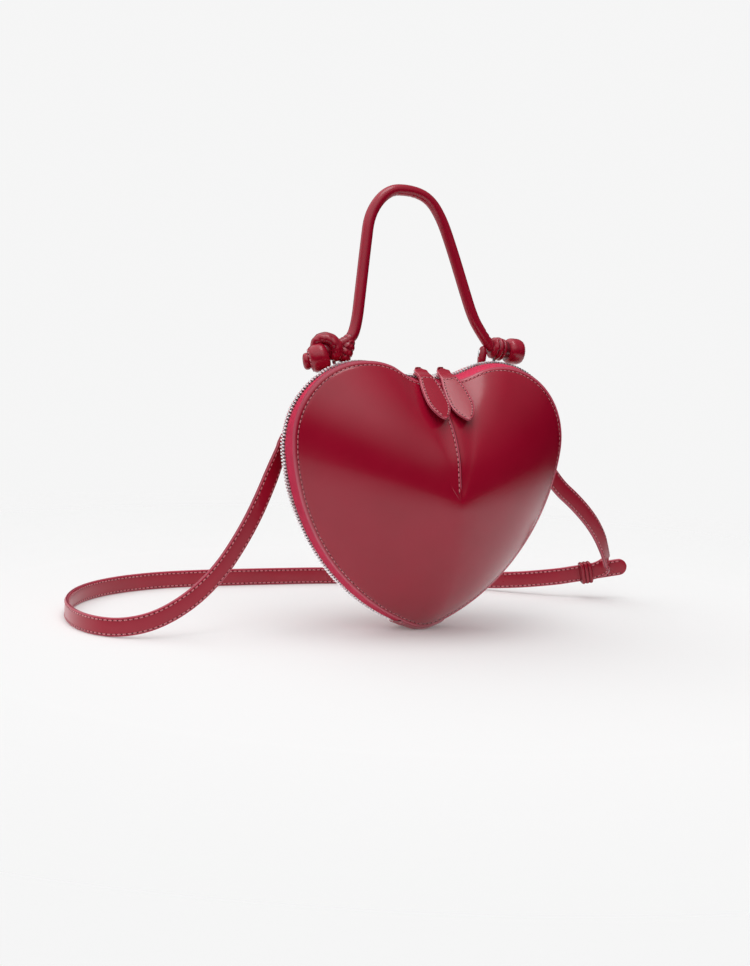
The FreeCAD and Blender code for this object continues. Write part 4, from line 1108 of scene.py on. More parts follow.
def slide():
    """Ridged sleeve: soft rectangle times a row of humps along the strap, and a plain inside."""
    along = np.linspace(-1, 1, KEEPER_STEPS + 1)
    hump = np.abs(np.sin((along + 1) / 2 * KEEPER_RIDGES * np.pi)) ** HUMP_POWER
    ends = np.sqrt(1 - np.abs(along) ** KEEPER_END_POWER)
    turn = circle(KEEPER_STEPS)
    corner_x = pressed(np.cos(turn), KEEPER_CORNER_POWER)
    corner_y = pressed(np.sin(turn), KEEPER_CORNER_POWER)
    inner_width = STRAP_WIDTH / 2 + KEEPER_CLEARANCE
    inner_depth = STRAP_THICKNESS + KEEPER_GAPS * KEEPER_CLEARANCE
    wall = (KEEPER_WALL * (KEEPER_THIN_SHARE + (1 - KEEPER_THIN_SHARE) * hump) * ends)[:, None]
    reach = along[:, None] * KEEPER_LENGTH / 2 + KEEPER_LEAN * np.sin(turn)[None, :]
    swell = KEEPER_FLARE * np.abs(np.sin(turn))[None, :] ** FLARE_POWER * hump[:, None]

    def place(width, depth, run):
        """Points of the sleeve in the slide's frame."""
        return (keeper_middle + keeper_along * run[..., None] + keeper_width * width[..., None]
                + keeper_normal * depth[..., None])

    outer = place((inner_width + wall + swell) * corner_x, (inner_depth + wall) * corner_y, reach)
    inner = place(inner_width * corner_x + 0 * reach, inner_depth * corner_y + 0 * reach, reach)[::-1]
    points = np.concatenate([outer, inner, outer[:1]])
    # Painted shade in the pinches between the turns.
    dent = np.concatenate([1 - hump, 0 * hump, (1 - hump)[:1]])
    return Pile().add(points, fold=(dent * KEEPER_SHADE)[:, None], edge=0.0)


keeper = slide().build("strap_slide_leather", "back_shell", "trim_leather", trim_leather)
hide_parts("strap_keeper")

# %% [markdown]
# Each strap end is sewn to a leather patch on the back panel. The patch lies flat in the anchor's frame,
# close over the dome, and its corners are rounded by a superellipse. The row of stitches presses a shallow
# groove into it.

# %% Strap anchors
PATCH_STEPS, PATCH_POWER, PATCH_SEWN_SHARE, PATCH_SEWN_LIFT_SHARE = 64, 0.35, 0.86, 0.92
PATCH_SHARES = np.array([0.3, 0.6, 0.8, 0.86, 0.9, 0.95, 0.985, 1.0, 1.0, 0.97, 0.6])
PATCH_LIFT_SHARES = np.array([1.0, 1.0, 0.99, 0.9, 0.97, 0.93, 0.8, 0.55, 0.25, 0.05, 0.05])
PATCH_PAINT, PATCH_PAINT_START_SHARE, PATCH_PAINT_RUN_SHARE = 0.7, 0.94, 0.05
FINE_PITCH, FINE_STITCH = 2.6 * MM, 1.8 * MM


def anchor(name):
    """Soft rectangular pad: rings of a superellipse from the middle of the face out to the rim and back."""
    seat, toward, normal = anchor_frame(name)
    turn = circle(PATCH_STEPS)
    outline = (toward * (pressed(np.cos(turn), PATCH_POWER) * ANCHOR_LENGTH / 2)[:, None]
               + np.cross(toward, normal) * (pressed(np.sin(turn), PATCH_POWER) * ANCHOR_WIDTH / 2)[:, None])
    lift = normal * (PATCH_LIFT_SHARES * ANCHOR_WALL)[:, None]
    points = seat + outline[None, :] * PATCH_SHARES[:, None, None] + lift[:, None]
    # Pale rim of the patch, partly edge paint and partly a painted highlight.
    edge = np.clip((PATCH_SHARES - PATCH_PAINT_START_SHARE) / PATCH_PAINT_RUN_SHARE, 0, 1) * PATCH_PAINT
    piece = Pile().add(points, close_start=True, close_end=True, edge=edge[:, None], fold=0.0)
    line = seat + outline * PATCH_SEWN_SHARE + normal * ANCHOR_WALL * PATCH_SEWN_LIFT_SHARE
    line = np.concatenate([line, line[:1]])
    return piece, line, np.broadcast_to(normal, line.shape)


for name in ("left", "right"):
    pad, line, normals = anchor(name)
    piece = pad.build("strap_patch_" + name, "back_shell", "trim_leather", trim_leather)
    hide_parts("strap_anchor_" + name)
    threads, shade_domes = Pile(), Pile()
    sew(threads, shade_domes, line, normals, 1, FINE_PITCH, FINE_STITCH)
    names = ("strap_patch_stitches_" + name, "strap_patch_holes_" + name)
    build_sewing(threads, shade_domes, names, "back_shell", "trim_leather")

# %% [markdown]
# The handle is a leather tube rolled round a cord. A smooth spline with a few points as its control points
# gives its line, and a round section is carried along it. A curve's own bevel would be as round, but could
# not be creased: where the tube bends hard, small creases pinch it, and a seam runs along its inner side.
# Painted shade darkens the creases and the seam.

# %% Handle tube
RING_BACK, RING_AXIS, HANDLE_LEAN = 19.0 * MM, 170.41 * MM, np.radians(10.0)
TUBE_RADIUS, CORE_RADIUS = 3.75 * MM, 2.6 * MM
HANDLE_POINTS = np.array([
    (61.0, 0.0, 13.0), (52.0, 0.0, 25.0), (46.5, 0.0, 35.5), (40.5, 0.0, 55.0), (33.0, 0.0, 79.5),
    (26.0, 0.0, 99.5), (17.0, 0.0, 112.5), (3.0, 0.0, 117.2), (-14.0, 0.0, 116.5), (-28.0, 0.0, 101.0),
    (-32.0, 0.0, 79.0), (-37.0, 0.0, 50.0), (-41.0, 0.0, 27.0), (-46.0, 0.0, 16.5), (-56.0, 0.0, 13.5),
]) * MM
TUBE_STEPS = 32
CREASES = np.array([2.0, 4.6, 7.6, 11.5]) * MM
TOP_CREASES = np.array([-9.0, -5.2, 6.5, 10.0]) * MM
NO_CREASES = np.array([])
CREASE_WIDTH, CREASE_DEPTH = 0.7 * MM, 0.45 * MM
TOP_CREASE_SHARE, CREASE_SIDE_SHARES = 0.5, (0.8, 0.2)
TUBE_SEAM_ANGLE, TUBE_SEAM_SPREAD, TUBE_SEAM_DEPTH = 0.55, 0.16, 0.3 * MM
CREASE_SHADE, TUBE_SEAM_SHADE = 0.6, 0.8
STRANDS, STRAND_SWELL_SHARE, STRAND_LAY, CORE_FIT_SHARE = 3, 0.08, 3.0 * MM, 0.94
HANDLE_RESOLUTION = 20


def in_handle(points):
    """Points in the handle's leaning plane (x, depth, height above the rings' bar) moved to the frame."""
    lean_y, lean_z = np.sin(HANDLE_LEAN), np.cos(HANDLE_LEAN)
    x, depth, height = np.moveaxis(points, -1, 0)
    y = RING_BACK + depth * lean_z + height * lean_y
    return np.stack([x, y, RING_AXIS - depth * lean_y + height * lean_z], -1)


def tube(line, radius, seam, creases):
    """Round section in the handle's plane; creases near the ends pinch one side and those at the top the
    other, and the seam is a groove along the tube."""
    along = unit(np.gradient(line, axis=0))
    depth = np.array([0.0, 1.0, 0.0])
    inward = np.cross(along, depth)
    turn = circle(TUBE_STEPS)
    run = run_along(line)
    ends = np.concatenate([creases[0], run[-1] - creases[0]])
    middle = run[-1] / 2 + creases[1]
    pinch = np.exp(-(((run[:, None] - ends) / CREASE_WIDTH) ** 2)).sum(1)
    soft = np.exp(-(((run[:, None] - middle) / CREASE_WIDTH) ** 2)).sum(1) * TOP_CREASE_SHARE
    lean, base = CREASE_SIDE_SHARES
    inner = np.clip(base + np.cos(turn) * lean, 0, 1)
    outer = np.clip(base - np.cos(turn) * lean, 0, 1)
    groove = np.exp(-(((turn - TUBE_SEAM_ANGLE) / TUBE_SEAM_SPREAD) ** 2)) * seam
    dent = pinch[:, None] * outer[None, :] + soft[:, None] * inner[None, :]
    size = radius - CREASE_DEPTH * dent - TUBE_SEAM_DEPTH * groove[None, :]
    points = (line[:, None] + inward[:, None] * (size * np.cos(turn))[..., None]
              + depth * (size * np.sin(turn))[..., None])
    # Painted shade in the creases and along the seam groove.
    return points, np.clip(dent * CREASE_SHADE + groove[None, :] * TUBE_SEAM_SHADE, 0, 1), run


tube_line = spline_points("handle_route", HANDLE_POINTS, HANDLE_RESOLUTION)
points, shade, run = tube(tube_line, TUBE_RADIUS, 1.0, (CREASES, TOP_CREASES))
handle = Pile().add(in_handle(points), close_start=True, close_end=True, fold=shade, edge=0.0)
handle = handle.build("handle_tube_leather", "handle", "handle_leather", handle_leather)
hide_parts("handle_tube")
turn = circle(TUBE_STEPS)
points, _, run = tube(tube_line, CORE_RADIUS, 0.0, (NO_CREASES, NO_CREASES))
strand = 1 + STRAND_SWELL_SHARE * np.cos(STRANDS * (turn[None, :] - run[:, None] / STRAND_LAY))
points = tube_line[:, None] + (points - tube_line[:, None]) * strand[..., None] * CORE_FIT_SHARE
core = Pile().add(in_handle(points), close_start=True, close_end=True, run=run[:, None],
                  across=turn[None, :] * CORE_RADIUS)
core = core.build("handle_core_cord", "handle", "core_cord", core_cord)
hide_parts("handle_core")

# %% [markdown]
# At each end the tube is knotted round its ring: a creased neck, tight wraps, and the free end as a plump
# barrel with a sewn rim. A winding cord would leave gaps that soft leather doesn't have, so each of these
# is a rounded lump about its own axis, and the lumps are pressed into each other. Ridges round a lump are
# turns of the leather, and small waves that cross each other crumple it. Painted shade darkens the valleys
# between ridges and the crumples, and a few lumps that sit in shadow are darkened as a whole. The left knot
# also has a flat turn arched over its barrel. Places and sizes are millimetres in the handle's plane.

# %% Knots
LUMP_ROWS, LUMP_STEPS = 73, 72
RIDGE_DEPTH_SHARE, CRUMPLE_SHARE = 0.14, 0.045
SEWN_SHARE = 0.8
RIDGE_LEAN_SHARE, RIDGE_POWER, RIDGE_SHADE, CRUMPLE_SHADE = 0.05, 0.7, 0.8, 0.3
# A lump's shade is painted shade over all of it, for turns that sit in shadow.
KNOTS = {
    "left": [
        dict(middle=(-49.6, 0.0, 11.0), axis=(-0.5, 0.0, -0.87),
             half=9.0, radii=(4.4, 6.4), power=2.6, ridges=4, crumple=0.8),
        dict(middle=(-61.0, 2.5, 10.5), axis=(-0.9, -0.2, -0.3),
             half=8.0, radii=(6.0, 7.0), power=4.0, shade=0.5),
        dict(middle=(-68.6, 1.2, 5.4), axis=(-0.84, 0.45, -0.25),
             half=6.9, radii=(9.7, 9.0), power=3.0, sewn=True),
        dict(middle=(-75.4, 4.8, 3.6), axis=(-0.84, 0.45, -0.1),
             half=2.6, radii=(5.6, 5.4), power=2.8),
    ],
    "right": [
        dict(middle=(65.2, 0.0, 12.8), axis=(0.975, 0.0, -0.2),
             half=5.4, radii=(7.6, 8.2), power=3.4, ridges=3, crumple=0.3),
        dict(middle=(70.5, 0.0, 11.9), axis=(1.0, 0.0, -0.1),
             half=4.0, radii=(6.2, 6.2), power=6.0, shade=0.7),
        dict(middle=(78.0, 0.0, 11.2), axis=(0.99, 0.0, -0.1),
             half=6.2, radii=(8.6, 8.9), power=3.6, sewn=True),
        dict(middle=(53.4, 0.0, 7.4), axis=(0.2, 0.0, 0.98),
             half=7.2, radii=(2.8, 3.0), power=2.6, shade=0.2),
    ],
}
ARCH_MIDDLE, ARCH_RING, ARCH_RADIAL, ARCH_AXIAL = (-62.7, 1.0, 11.6), 6.6, 4.1, 6.0
ARCH_RIGHT, ARCH_UP = (0.8, -0.6, 0.0), (-0.2, -0.05, 0.97)
ARCH_ANGLES = np.radians([-80.0, 205.0])
ARCH_SHARES, ARCH_POWER = np.linspace(-0.999, 0.999, 91)[:, None], 8


def lump(middle, axis, half, radii, power, ridges=0, crumple=0.0, shade=0.0, sewn=False):
    """Round about an axis: the radius runs from one end's to the other's and closes at both ends on a
    superellipse; ridges are humps along the axis, and crumpling is a product of waves round and along."""
    axis = unit(np.array(axis, float))
    side = unit(np.cross(axis, [0.0, 1.0, 0.0]))
    share = np.sin(np.linspace(-1, 1, LUMP_ROWS)[1:-1] * np.pi / 2)[:, None]
    turn = circle(LUMP_STEPS)
    lean = share + RIDGE_LEAN_SHARE * np.sin(turn * 2 + middle[0])
    valley = 1 - np.abs(np.sin((lean + 1) / 2 * ridges * np.pi)) ** RIDGE_POWER if ridges else 0 * lean
    wave = np.sin(7 * turn + 5 * share) * np.sin(6 * share - 3 * turn) + np.sin(13 * turn - 9 * share) / 2
    size = (radii[0] + (radii[1] - radii[0]) * (share + 1) / 2) * (1 - np.abs(share) ** power) ** (1 / power)
    size = size * (1 - RIDGE_DEPTH_SHARE * valley + CRUMPLE_SHARE * crumple * wave)
    points = (np.array(middle) + axis * (share * half)[..., None]
              + side * (size * np.cos(turn))[..., None]
              + np.cross(axis, side) * (size * np.sin(turn))[..., None])
    # Painted shade in the valleys between ridges and in the crumples, and the lump's own painted shade.
    fold = np.clip(valley ** 2 * RIDGE_SHADE + np.clip(-wave, 0, 1) * crumple * CRUMPLE_SHADE + shade, 0, 1)
    row = np.argmin(np.abs(share[:, 0] - SEWN_SHARE)) if sewn else None
    return in_handle(points * MM), fold, row


def arch():
    """Flat turn over the left barrel: an ellipse carried round part of a tilted ring, crumpled by waves."""
    angle = ARCH_ANGLES.mean() + ARCH_SHARES * np.ptp(ARCH_ANGLES) / 2
    turn = circle(LUMP_STEPS // 2)
    right, up = unit(np.array(ARCH_RIGHT)), unit(np.array(ARCH_UP))
    out = right * np.cos(angle) + up * np.sin(angle)
    wave = np.sin(4 * turn + 6 * angle) * np.sin(5 * angle - turn) + 0.6 * np.sin(3 * turn + 2 * angle)
    size = np.sqrt(1 - np.abs(ARCH_SHARES) ** ARCH_POWER) * (1 + CRUMPLE_SHARE * wave)
    radial, axial = ARCH_RING + ARCH_RADIAL * size * np.cos(turn), ARCH_AXIAL * size * np.sin(turn)
    points = np.array(ARCH_MIDDLE) + out[:, None] * radial[..., None] + np.cross(right, up) * axial[..., None]
    # Painted shade in the arch's crumples.
    return in_handle(points * MM), np.clip(-wave, 0, 1) * CRUMPLE_SHADE


def knot(name):
    """All lumps of one knot in one piece, and the stitches round the barrel's rim."""
    pile, threads, shade_domes = Pile(), Pile(), Pile()
    if name == "left":
        points, fold = arch()
        pile.add(points, close_start=True, close_end=True, fold=fold, edge=0.0)
    for facts in KNOTS[name]:
        points, fold, row = lump(**facts)
        pile.add(points, close_start=True, close_end=True, fold=fold, edge=0.0)
        if row is not None:
            line = np.concatenate([points[row], points[row, :1]])
            sew(threads, shade_domes, line, unit(line - points[row].mean(0)), 1, FINE_PITCH, FINE_STITCH)
    return pile, threads, shade_domes


for name in ("left", "right"):
    body, threads, shade_domes = knot(name)
    piece = body.build("knot_leather_" + name, "handle", "handle_leather", handle_leather)
    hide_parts("knot_" + name)
    names = ("knot_stitches_" + name, "knot_needle_holes_" + name)
    build_sewing(threads, shade_domes, names, "handle", "handle_leather")

# %% [markdown]
# A short leather tab loops round the lower bar of each ring and is sewn to the back panel. It is two flat
# strips: one carried most of the way round the bar, and one that goes on from there down the dome.

# %% Ring tabs
RING_REACHES = {"left": -53.0 * MM, "right": 57.0 * MM}
TAB_WIDTH, TAB_WALL, TAB_LOOP = 6.0 * MM, 1.1 * MM, 2.0 * MM
TAB_SHARES = np.array([0.965, 0.93, 0.9, 0.865])
TAB_FOOT_LIFT = np.array([0.0, 0.7, 0.7]) * MM
TAB_LOOP_ANGLES = np.radians(np.linspace(20.0, -215.0, 26))
TAB_STEPS, TAB_FOOT_STEPS, TAB_POWERS, TAB_PAINT = 24, 19, (0.3, 0.5), 0.6
SIDEWAYS = np.array([1.0, 0.0, 0.0])


def tab_line(reach):
    """Part of a circle round the bar, and points a little above the back dome, both in the plane x = 0."""
    forward, upward = TAB_LOOP * np.cos(TAB_LOOP_ANGLES), -TAB_LOOP * np.sin(TAB_LOOP_ANGLES)
    loop = np.stack([0 * forward, RING_BACK + forward, RING_AXIS + upward], -1)
    lobe_angle = np.arccos((abs(reach) / TAB_SHARES - LOBE[0]) / LOBE_RADIUS)
    foot = np.array([lobe_point(*spot) for spot in zip(lobe_angle, TAB_SHARES)])
    foot[:, 0] = 0
    return loop, foot + TAB_FOOT_LIFT


def tab(reach):
    """Strip round the bar and a foot on the panel, both with rounded edges."""
    loop, foot = tab_line(reach)
    pile = Pile()
    turn = circle(TAB_STEPS)
    wide = pressed(np.cos(turn), TAB_POWERS[0]) * TAB_WIDTH / 2
    deep = pressed(np.sin(turn), TAB_POWERS[1]) * TAB_WALL / 2
    corners = np.concatenate([loop[-1:], foot])
    steps = np.linspace(0, len(corners) - 1, TAB_FOOT_STEPS)
    for line in (loop, at_run(steps, np.arange(len(corners)), corners)):
        normal = np.cross(unit(np.gradient(line, axis=0)), SIDEWAYS)
        points = line[:, None] + normal[:, None] * deep[None, :, None]
        points = points + SIDEWAYS * (reach + wide)[None, :, None]
        # Pale edges of the tab, partly edge paint and partly a painted highlight.
        edge = painted(wide, TAB_WIDTH) * TAB_PAINT
        pile.add(points, close_start=True, close_end=True, edge=edge[None, :], fold=0.0)
    return pile


for name, reach in RING_REACHES.items():
    piece = tab(reach).build("ring_tab_leather_" + name, "back_shell", "trim_leather", trim_leather)
    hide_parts("ring_tab_" + name)

# %% [markdown]
# Each zip pull is one strip of leather folded over the slider's bail, so that two layers lie on each other
# and are sewn together round the leaf. Each layer is drawn from the bail down to the tip, and a half turn
# of leather round the bail joins them. The width follows the leaf's outline, and the edges are pale, partly
# edge paint and partly a painted highlight. The right leaf has rolled over a little.

# %% Zip pulls
NOTCH_CENTRE = STAND + LOBE[1] + np.sqrt((NOTCH_RADII[1] + LOBE_RADIUS) ** 2 - LOBE[0] ** 2)
CHAIN_RADIUS, PIVOT_LIFT, PIVOT_FORWARD = np.array([70.5, 5.2, 1.0]) * MM
SLIDER_RESTS = {"left": -8.2 * MM, "right": 10.0 * MM}
NECK_DROPS = {"left": 3.4 * MM, "right": 4.4 * MM}
NECK_REACH, PULL_LENGTH, PULL_WIDTH, PULL_TOP, PULL_TIP = np.array([11.0, 37.0, 16.0, 10.5, 3.3]) * MM
PULL_WIDEST_SHARE = 0.58
PULL_LAYER, FOLD_RADIUS, NECK_WIDTH, NECK_TAB = np.array([0.96, 1.7, 3.2, 9.8]) * MM
TAB_START, TAB_FLARE, ROLL_START, ROLL_RUN = np.array([1.9, 1.0, 5.0, 9.0]) * MM
PULL_SLOPE = np.radians(50.0)
PULL_TILTS = {"left": np.radians(-2.0), "right": 0.0}
PULL_ROLLS = {"left": 0.0, "right": np.radians(13.0)}
BEND_SHARE, LEAF_CROWDING, LAYER_GAP, FOLD_RUN = 0.28, 1.8, 0.02 * MM, 5.0 * MM
BEND_STEPS, LEAF_STEPS, PULL_STEPS, PULL_POWERS = 15, 60, 24, (0.25, 0.55)
TOP_RUN, POINT_SHARE, CROWN_RISE = 5.0 * MM, 0.04, 0.12 * MM
PULL_PAINT, PULL_PAINT_START_SHARE, PULL_PAINT_RUN_SHARE = 0.8, 0.86, 0.1
TIP_PAINT, TIP_PAINT_RUN = 0.9 * MM, 0.5 * MM
SEWN_START, SEWN_END, SEWN_INSET, SEWN_LEAST, SEWN_LIFT = np.array([1.0, 2.2, 1.5, 0.2, 0.05]) * MM
PULL_PITCH, PULL_STITCH = 2.4 * MM, 1.7 * MM
TOP_ROW_SHARES = np.linspace(-1, 1, 12)[:, None]
FOLD_ANGLES = np.linspace(np.pi / 2, 3 * np.pi / 2, 17)[:, None]


def pull_frame(name):
    """Pivot, across, hanging and forward directions of a pull."""
    turn = SLIDER_RESTS[name] / CHAIN_RADIUS
    x = (CHAIN_RADIUS - PIVOT_LIFT) * np.sin(turn)
    z = NOTCH_CENTRE - (CHAIN_RADIUS - PIVOT_LIFT) * np.cos(turn)
    tilt = PULL_TILTS[name]
    across = np.array([np.cos(tilt), 0.0, np.sin(tilt)])
    hang = np.array([np.sin(tilt), 0.0, -np.cos(tilt)])
    return np.array([x, -PIVOT_FORWARD, z]), across, hang, np.array([0.0, -1.0, 0.0])


def pull_path(name, layer):
    """Middle line of one layer from the bail to the tip: the neck, a bend over the panel's edge, and the
    leaf's plane, with rows that crowd towards the tip."""
    pivot, across, hang, forward = pull_frame(name)
    neck_end = forward * NECK_REACH + hang * NECK_DROPS[name]
    down = forward * np.sin(PULL_SLOPE) + hang * np.cos(PULL_SLOPE)
    tip = neck_end + down * PULL_LENGTH
    share = np.linspace(0, 1, BEND_STEPS)[:, None]
    start = unit(neck_end) * FOLD_RADIUS
    bend_start = neck_end * (1 - BEND_SHARE)
    bend_end = neck_end + down * np.linalg.norm(neck_end) * BEND_SHARE
    neck = start + (bend_start - start) * share[:-1]
    bend = (1 - share) ** 2 * bend_start + 2 * share * (1 - share) * neck_end + share ** 2 * bend_end
    leaf_share = 1 - (1 - np.linspace(0, 1, LEAF_STEPS)[1:, None]) ** LEAF_CROWDING
    leaf = bend_end + (tip - bend_end) * leaf_share
    line = np.concatenate([neck, bend, leaf])
    along = unit(np.gradient(line, axis=0))
    normal = np.cross(across, along)
    normal = normal * np.sign(normal @ np.array([0.0, -1.0, 1.0]))[:, None]
    run = run_along(line) + FOLD_RADIUS
    roll = np.tan(PULL_ROLLS[name]) * smooth_step((run - ROLL_START) / ROLL_RUN)[:, None]
    sideways, normal = unit(across + normal * roll), unit(normal - across * roll)
    opening = np.clip(1 - (run - FOLD_RADIUS) / FOLD_RUN, 0, 1) ** 2
    lift = layer * (PULL_LAYER / 2 + LAYER_GAP + opening * (FOLD_RADIUS - PULL_LAYER / 2))
    return pivot + line + normal * lift[:, None], normal * layer, sideways, run


def pull_width(run):
    """Half width along the pull: a neck that flares to a tab, and a leaf of two arcs and a rounded tip.
    Each arc's height over its chord gives its radius, and the lower one touches the tip's circle."""
    leaf = run - run[-1] + PULL_LENGTH
    half, widest, centre = PULL_WIDTH / 2, PULL_WIDEST_SHARE * PULL_LENGTH, PULL_LENGTH - PULL_TIP
    rise_in = half - PULL_TOP / 2
    upper = (widest ** 2 + rise_in ** 2) / (2 * rise_in)
    lower = ((centre - widest) ** 2 + half ** 2 - PULL_TIP ** 2) / (2 * (half - PULL_TIP))
    touch = centre + PULL_TIP * (centre - widest) / (lower - PULL_TIP)
    radius = np.where(leaf < widest, upper, lower)
    arc = half - radius + np.sqrt(np.maximum(radius ** 2 - (leaf - widest) ** 2, 0))
    point = np.sqrt(np.maximum(PULL_TIP ** 2 - (leaf - centre) ** 2, (POINT_SHARE * PULL_TIP) ** 2))
    tab_half = (NECK_WIDTH + (NECK_TAB - NECK_WIDTH) * smooth_step((run - TAB_START) / TAB_FLARE)) / 2
    top = tab_half + (PULL_TOP / 2 - NECK_TAB / 2) * smooth_step(1 + leaf / TOP_RUN)
    return np.where(leaf < 0, top, np.where(leaf < touch, arc, point)), leaf


def pull(name):
    """Both layers with rounded edges, and the fold round the bail."""
    pile, threads, shade_domes = Pile(), Pile(), Pile()
    turn = circle(PULL_STEPS)
    wide = pressed(np.cos(turn), PULL_POWERS[0])
    deep = pressed(np.sin(turn), PULL_POWERS[1]) * PULL_LAYER / 2
    for layer in (1, -1):
        line, normal, across, run = pull_path(name, layer)
        half, leaf = pull_width(run)
        crown = CROWN_RISE * (1 - wide ** 2)[None, :] * np.clip(half / PULL_WIDTH * 2, 0, 1)[:, None]
        points = (line[:, None] + across[:, None] * (half[:, None] * wide)[..., None]
                  + normal[:, None] * (deep[None, :] + crown * (deep > 0))[..., None])
        # Pale edges and tip, partly edge paint and partly a painted highlight.
        edge = np.clip((np.abs(wide) - PULL_PAINT_START_SHARE) / PULL_PAINT_RUN_SHARE, 0, 1)
        edge = np.maximum(edge, np.clip((leaf[:, None] - PULL_LENGTH + TIP_PAINT) / TIP_PAINT_RUN, 0, 1))
        pile.add(points, close_start=True, close_end=True, edge=edge * PULL_PAINT, fold=0.0)
        if layer == 1:
            inside = (leaf > SEWN_START) & (leaf < PULL_LENGTH - SEWN_END)
            inset = np.maximum(half[inside] - SEWN_INSET, SEWN_LEAST)
            lift = normal[inside] * (PULL_LAYER / 2 + SEWN_LIFT)
            for way in (-1, 1):
                row = line[inside] + across[inside] * (way * inset)[:, None] + lift
                sew(threads, shade_domes, row, normal[inside], 1, PULL_PITCH, PULL_STITCH)
            top = TOP_ROW_SHARES * across[inside][0] * inset[0] + line[inside][0] + lift[0]
            top_normals = np.broadcast_to(normal[inside][0], top.shape)
            sew(threads, shade_domes, top, top_normals, 1, PULL_PITCH, PULL_STITCH)
    pivot, across, hang, forward = pull_frame(name)
    first = unit(forward * NECK_REACH + hang * NECK_DROPS[name])
    second = np.cross(across, first)
    ring = first * np.cos(FOLD_ANGLES) + second * np.sin(FOLD_ANGLES)
    points = (pivot + ring[:, None] * (FOLD_RADIUS + deep[None, :, None])
              + across * (wide * NECK_WIDTH / 2)[None, :, None])
    pile.add(points, close_start=True, close_end=True, edge=0.0, fold=0.0)
    return pile, threads, shade_domes


for name in ("left", "right"):
    leaf, threads, shade_domes = pull(name)
    piece = leaf.build("zip_pull_leather_" + name, "pull_" + name, "trim_leather", trim_leather)
    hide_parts("zip_pull_" + name)
    names = ("zip_pull_stitches_" + name, "zip_pull_holes_" + name)
    build_sewing(threads, shade_domes, names, "pull_" + name, "trim_leather")

# %% [markdown]
# The metal pieces keep their CAD shapes: the two rows of teeth, the sliders with their bails, the stops and
# the rings. They only need a finish.

# %% Metal finishes
METAL_NODES = {
    zip_metal: ["front_zip_teeth", "back_zip_teeth", "slider_body_left", "slider_body_right",
                "slider_bail_left", "slider_bail_right", "zip_stop_left", "zip_stop_right"],
    ring_metal: ["ring_left", "ring_right"],
}
for material, nodes in METAL_NODES.items():
    for node in nodes:
        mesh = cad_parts[node].data
        mesh.materials.clear()
        mesh.materials.append(material)
        mesh.shade_smooth()
        mesh.set_sharp_from_angle(angle=SHARP_ANGLE)
print("metal nodes", sum(len(nodes) for nodes in METAL_NODES.values()))

# %% [markdown]
# The purse stands on a pale floor under one soft box, in a room that is pale overhead and at the back left,
# dimmer to the right and dark around the horizon, so the glossy domes show a dark band between the light
# from above and the light from the floor. One large lamp would give the same shading, but its edges would
# show in the gloss. The floor fades into a plain background, and a little light of its own, seen by the
# camera, brings it to the same paleness. A stronger glow of the floor, seen only in reflections, is painted
# light: it brightens the floor's reflection in the glossy leather.

# %% Floor, light and background
FLOOR_SIZE, FLOOR_FADE = 3.0, (0.32, 0.65)
FLOOR_HOLE, FLOOR_RINGS, FLOOR_STEPS = 0.02, 24, 96
FLOOR_GREY, FLOOR_ROUGHNESS, FLOOR_SHINE = (0.78, 0.78, 0.78, 1.0), 0.9, 0.1
# The camera sees the first glow; reflections see the second, a painted brightening of the floor's reflection.
FLOOR_GLOW, FLOOR_REFLECTION_GLOW = 0.14, 0.42
WHITE = (1.0, 1.0, 1.0, 1.0)
BACKGROUND = (0.918, 0.918, 0.918, 1.0)
ROOM_HEIGHTS, ROOM_LEVELS = (0.22, 0.6), (0.0, 1.35)
ROOM_WIDTHS, ROOM_SHARES = (0.0, 0.6), (1.0, 0.15)
WALL_WIDTHS, WALL_LEVELS = (1.1, 1.3), (0.0, 1.1)
UNDER_HEIGHTS, UNDER_LEVELS = (-0.6, -0.22), (1.1, 0.0)
BOX_PLACE, BOX_TARGET, BOX_SIZE, BOX_POWER = (0.0, -0.1, 1.5), (0.0, 0.0, 0.1), (0.6, 0.8), 5.0


def add_floor():
    """Disc of pale floor that fades to the background away from the purse."""
    turn = circle(FLOOR_STEPS)
    radius = np.linspace(FLOOR_HOLE, FLOOR_SIZE, FLOOR_RINGS)[:, None]
    points = np.stack([radius * np.cos(turn), radius * np.sin(turn), 0 * radius * turn], -1)
    mesh = bpy.data.meshes.new("floor")
    quads = grid_quads(*points.shape[:2], True)
    flat = np.concatenate([points.reshape(-1, 3), [[0.0, 0.0, 0.0]]])
    mesh.from_pydata(flat.tolist(), [], quads.tolist() + fan(0, len(turn), len(flat) - 1).tolist())
    floor = bpy.data.objects.new("floor", mesh)
    bpy.context.scene.collection.objects.link(floor)
    material, tree, shader, place = new_material("pale_floor")
    shader.inputs["Base Color"].default_value = FLOOR_GREY
    shader.inputs["Roughness"].default_value = FLOOR_ROUGHNESS
    shader.inputs["Specular IOR Level"].default_value = FLOOR_SHINE
    rays = add_node(tree, "LightPath").outputs
    glow = maths(tree, "ADD", maths(tree, "MULTIPLY", rays["Is Camera Ray"], FLOOR_GLOW),
                 maths(tree, "MULTIPLY", rays["Is Glossy Ray"], FLOOR_REFLECTION_GLOW))
    feed(tree, shader.inputs["Emission Strength"], glow)
    shader.inputs["Emission Color"].default_value = WHITE
    distance = add_node(tree, "VectorMath", operation="LENGTH")
    feed(tree, distance.inputs[0], place)
    fade = span(tree, distance.outputs["Value"], *FLOOR_FADE, 0.0, 1.0)
    clear = add_node(tree, "BsdfTransparent")
    blend = add_node(tree, "MixShader")
    feed(tree, blend.inputs[0], fade)
    feed(tree, blend.inputs[1], shader.outputs[0])
    feed(tree, blend.inputs[2], clear.outputs[0])
    feed(tree, tree.nodes["Material Output"].inputs["Surface"], blend.outputs[0])
    mesh.materials.append(material)


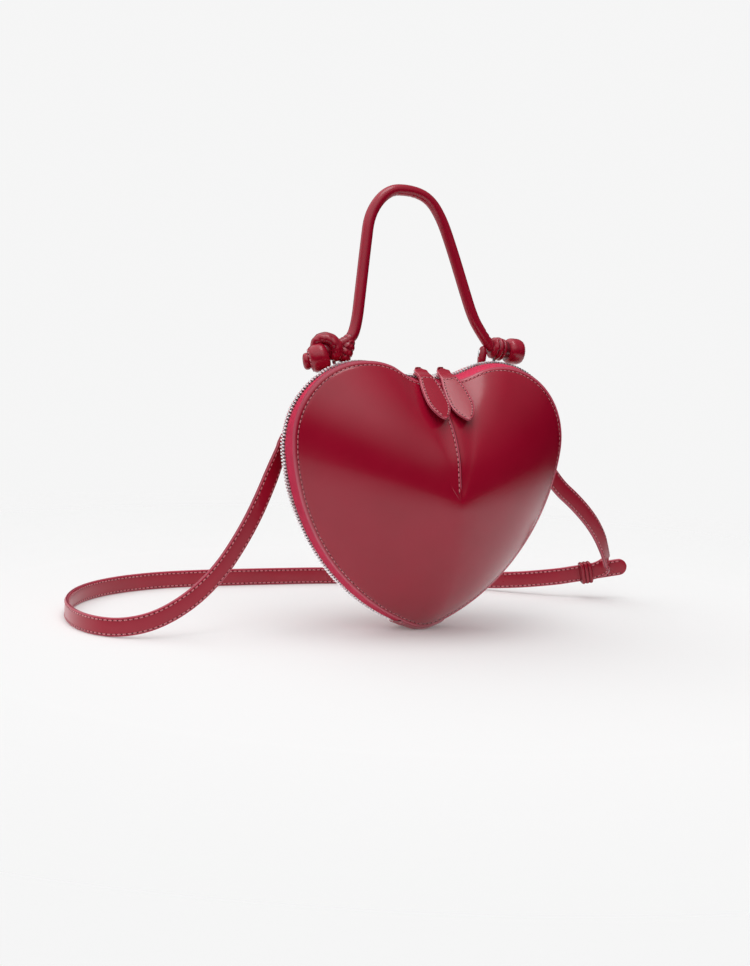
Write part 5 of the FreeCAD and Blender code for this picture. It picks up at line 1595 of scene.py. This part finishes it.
def add_world():
    """Pale for the camera; for other rays dim at the horizon, lighter above, below and at the back left."""
    world = bpy.data.worlds.new("studio")
    bpy.context.scene.world = world
    world.use_nodes = True
    tree = world.node_tree
    direction = add_node(tree, "TexCoord").outputs["Generated"]
    parts = add_node(tree, "SeparateXYZ")
    feed(tree, parts.inputs[0], direction)
    above = span(tree, parts.outputs["Z"], *ROOM_HEIGHTS, *ROOM_LEVELS)
    above = maths(tree, "MULTIPLY", above, span(tree, parts.outputs["X"], *ROOM_WIDTHS, *ROOM_SHARES))
    back_left = maths(tree, "SUBTRACT", parts.outputs["Y"], parts.outputs["X"])
    beside = span(tree, back_left, *WALL_WIDTHS, *WALL_LEVELS)
    below = span(tree, parts.outputs["Z"], *UNDER_HEIGHTS, *UNDER_LEVELS)
    level = maths(tree, "MAXIMUM", maths(tree, "MAXIMUM", above, beside), below)
    seen = add_node(tree, "LightPath").outputs["Is Camera Ray"]
    grey = add_node(tree, "CombineColor")
    for label in ("Red", "Green", "Blue"):
        feed(tree, grey.inputs[label], level)
    picked = mix_colour(tree, seen, grey.outputs[0], BACKGROUND)
    feed(tree, tree.nodes["Background"].inputs["Color"], picked)
    tree.nodes["Background"].inputs["Strength"].default_value = 1.0


def add_soft_box(name, place, target, size, power):
    """Rectangular area lamp aimed at a point."""
    lamp = bpy.data.lights.new(name, "AREA")
    lamp.shape = "RECTANGLE"
    lamp.size, lamp.size_y = size
    lamp.energy = power
    holder = bpy.data.objects.new(name, lamp)
    back = unit(np.array(place, float) - np.array(target, float))
    right = unit(np.cross([0.0, 1.0, 0.0], back))
    turn = np.eye(4)
    turn[:3, 0], turn[:3, 1], turn[:3, 2], turn[:3, 3] = right, np.cross(back, right), back, place
    holder.matrix_world = Matrix(turn.tolist())
    bpy.context.scene.collection.objects.link(holder)


add_floor()
add_world()
add_soft_box("overhead_box", BOX_PLACE, BOX_TARGET, BOX_SIZE, BOX_POWER)
bpy.context.scene.view_settings.view_transform = "Standard"
print("stage ready")
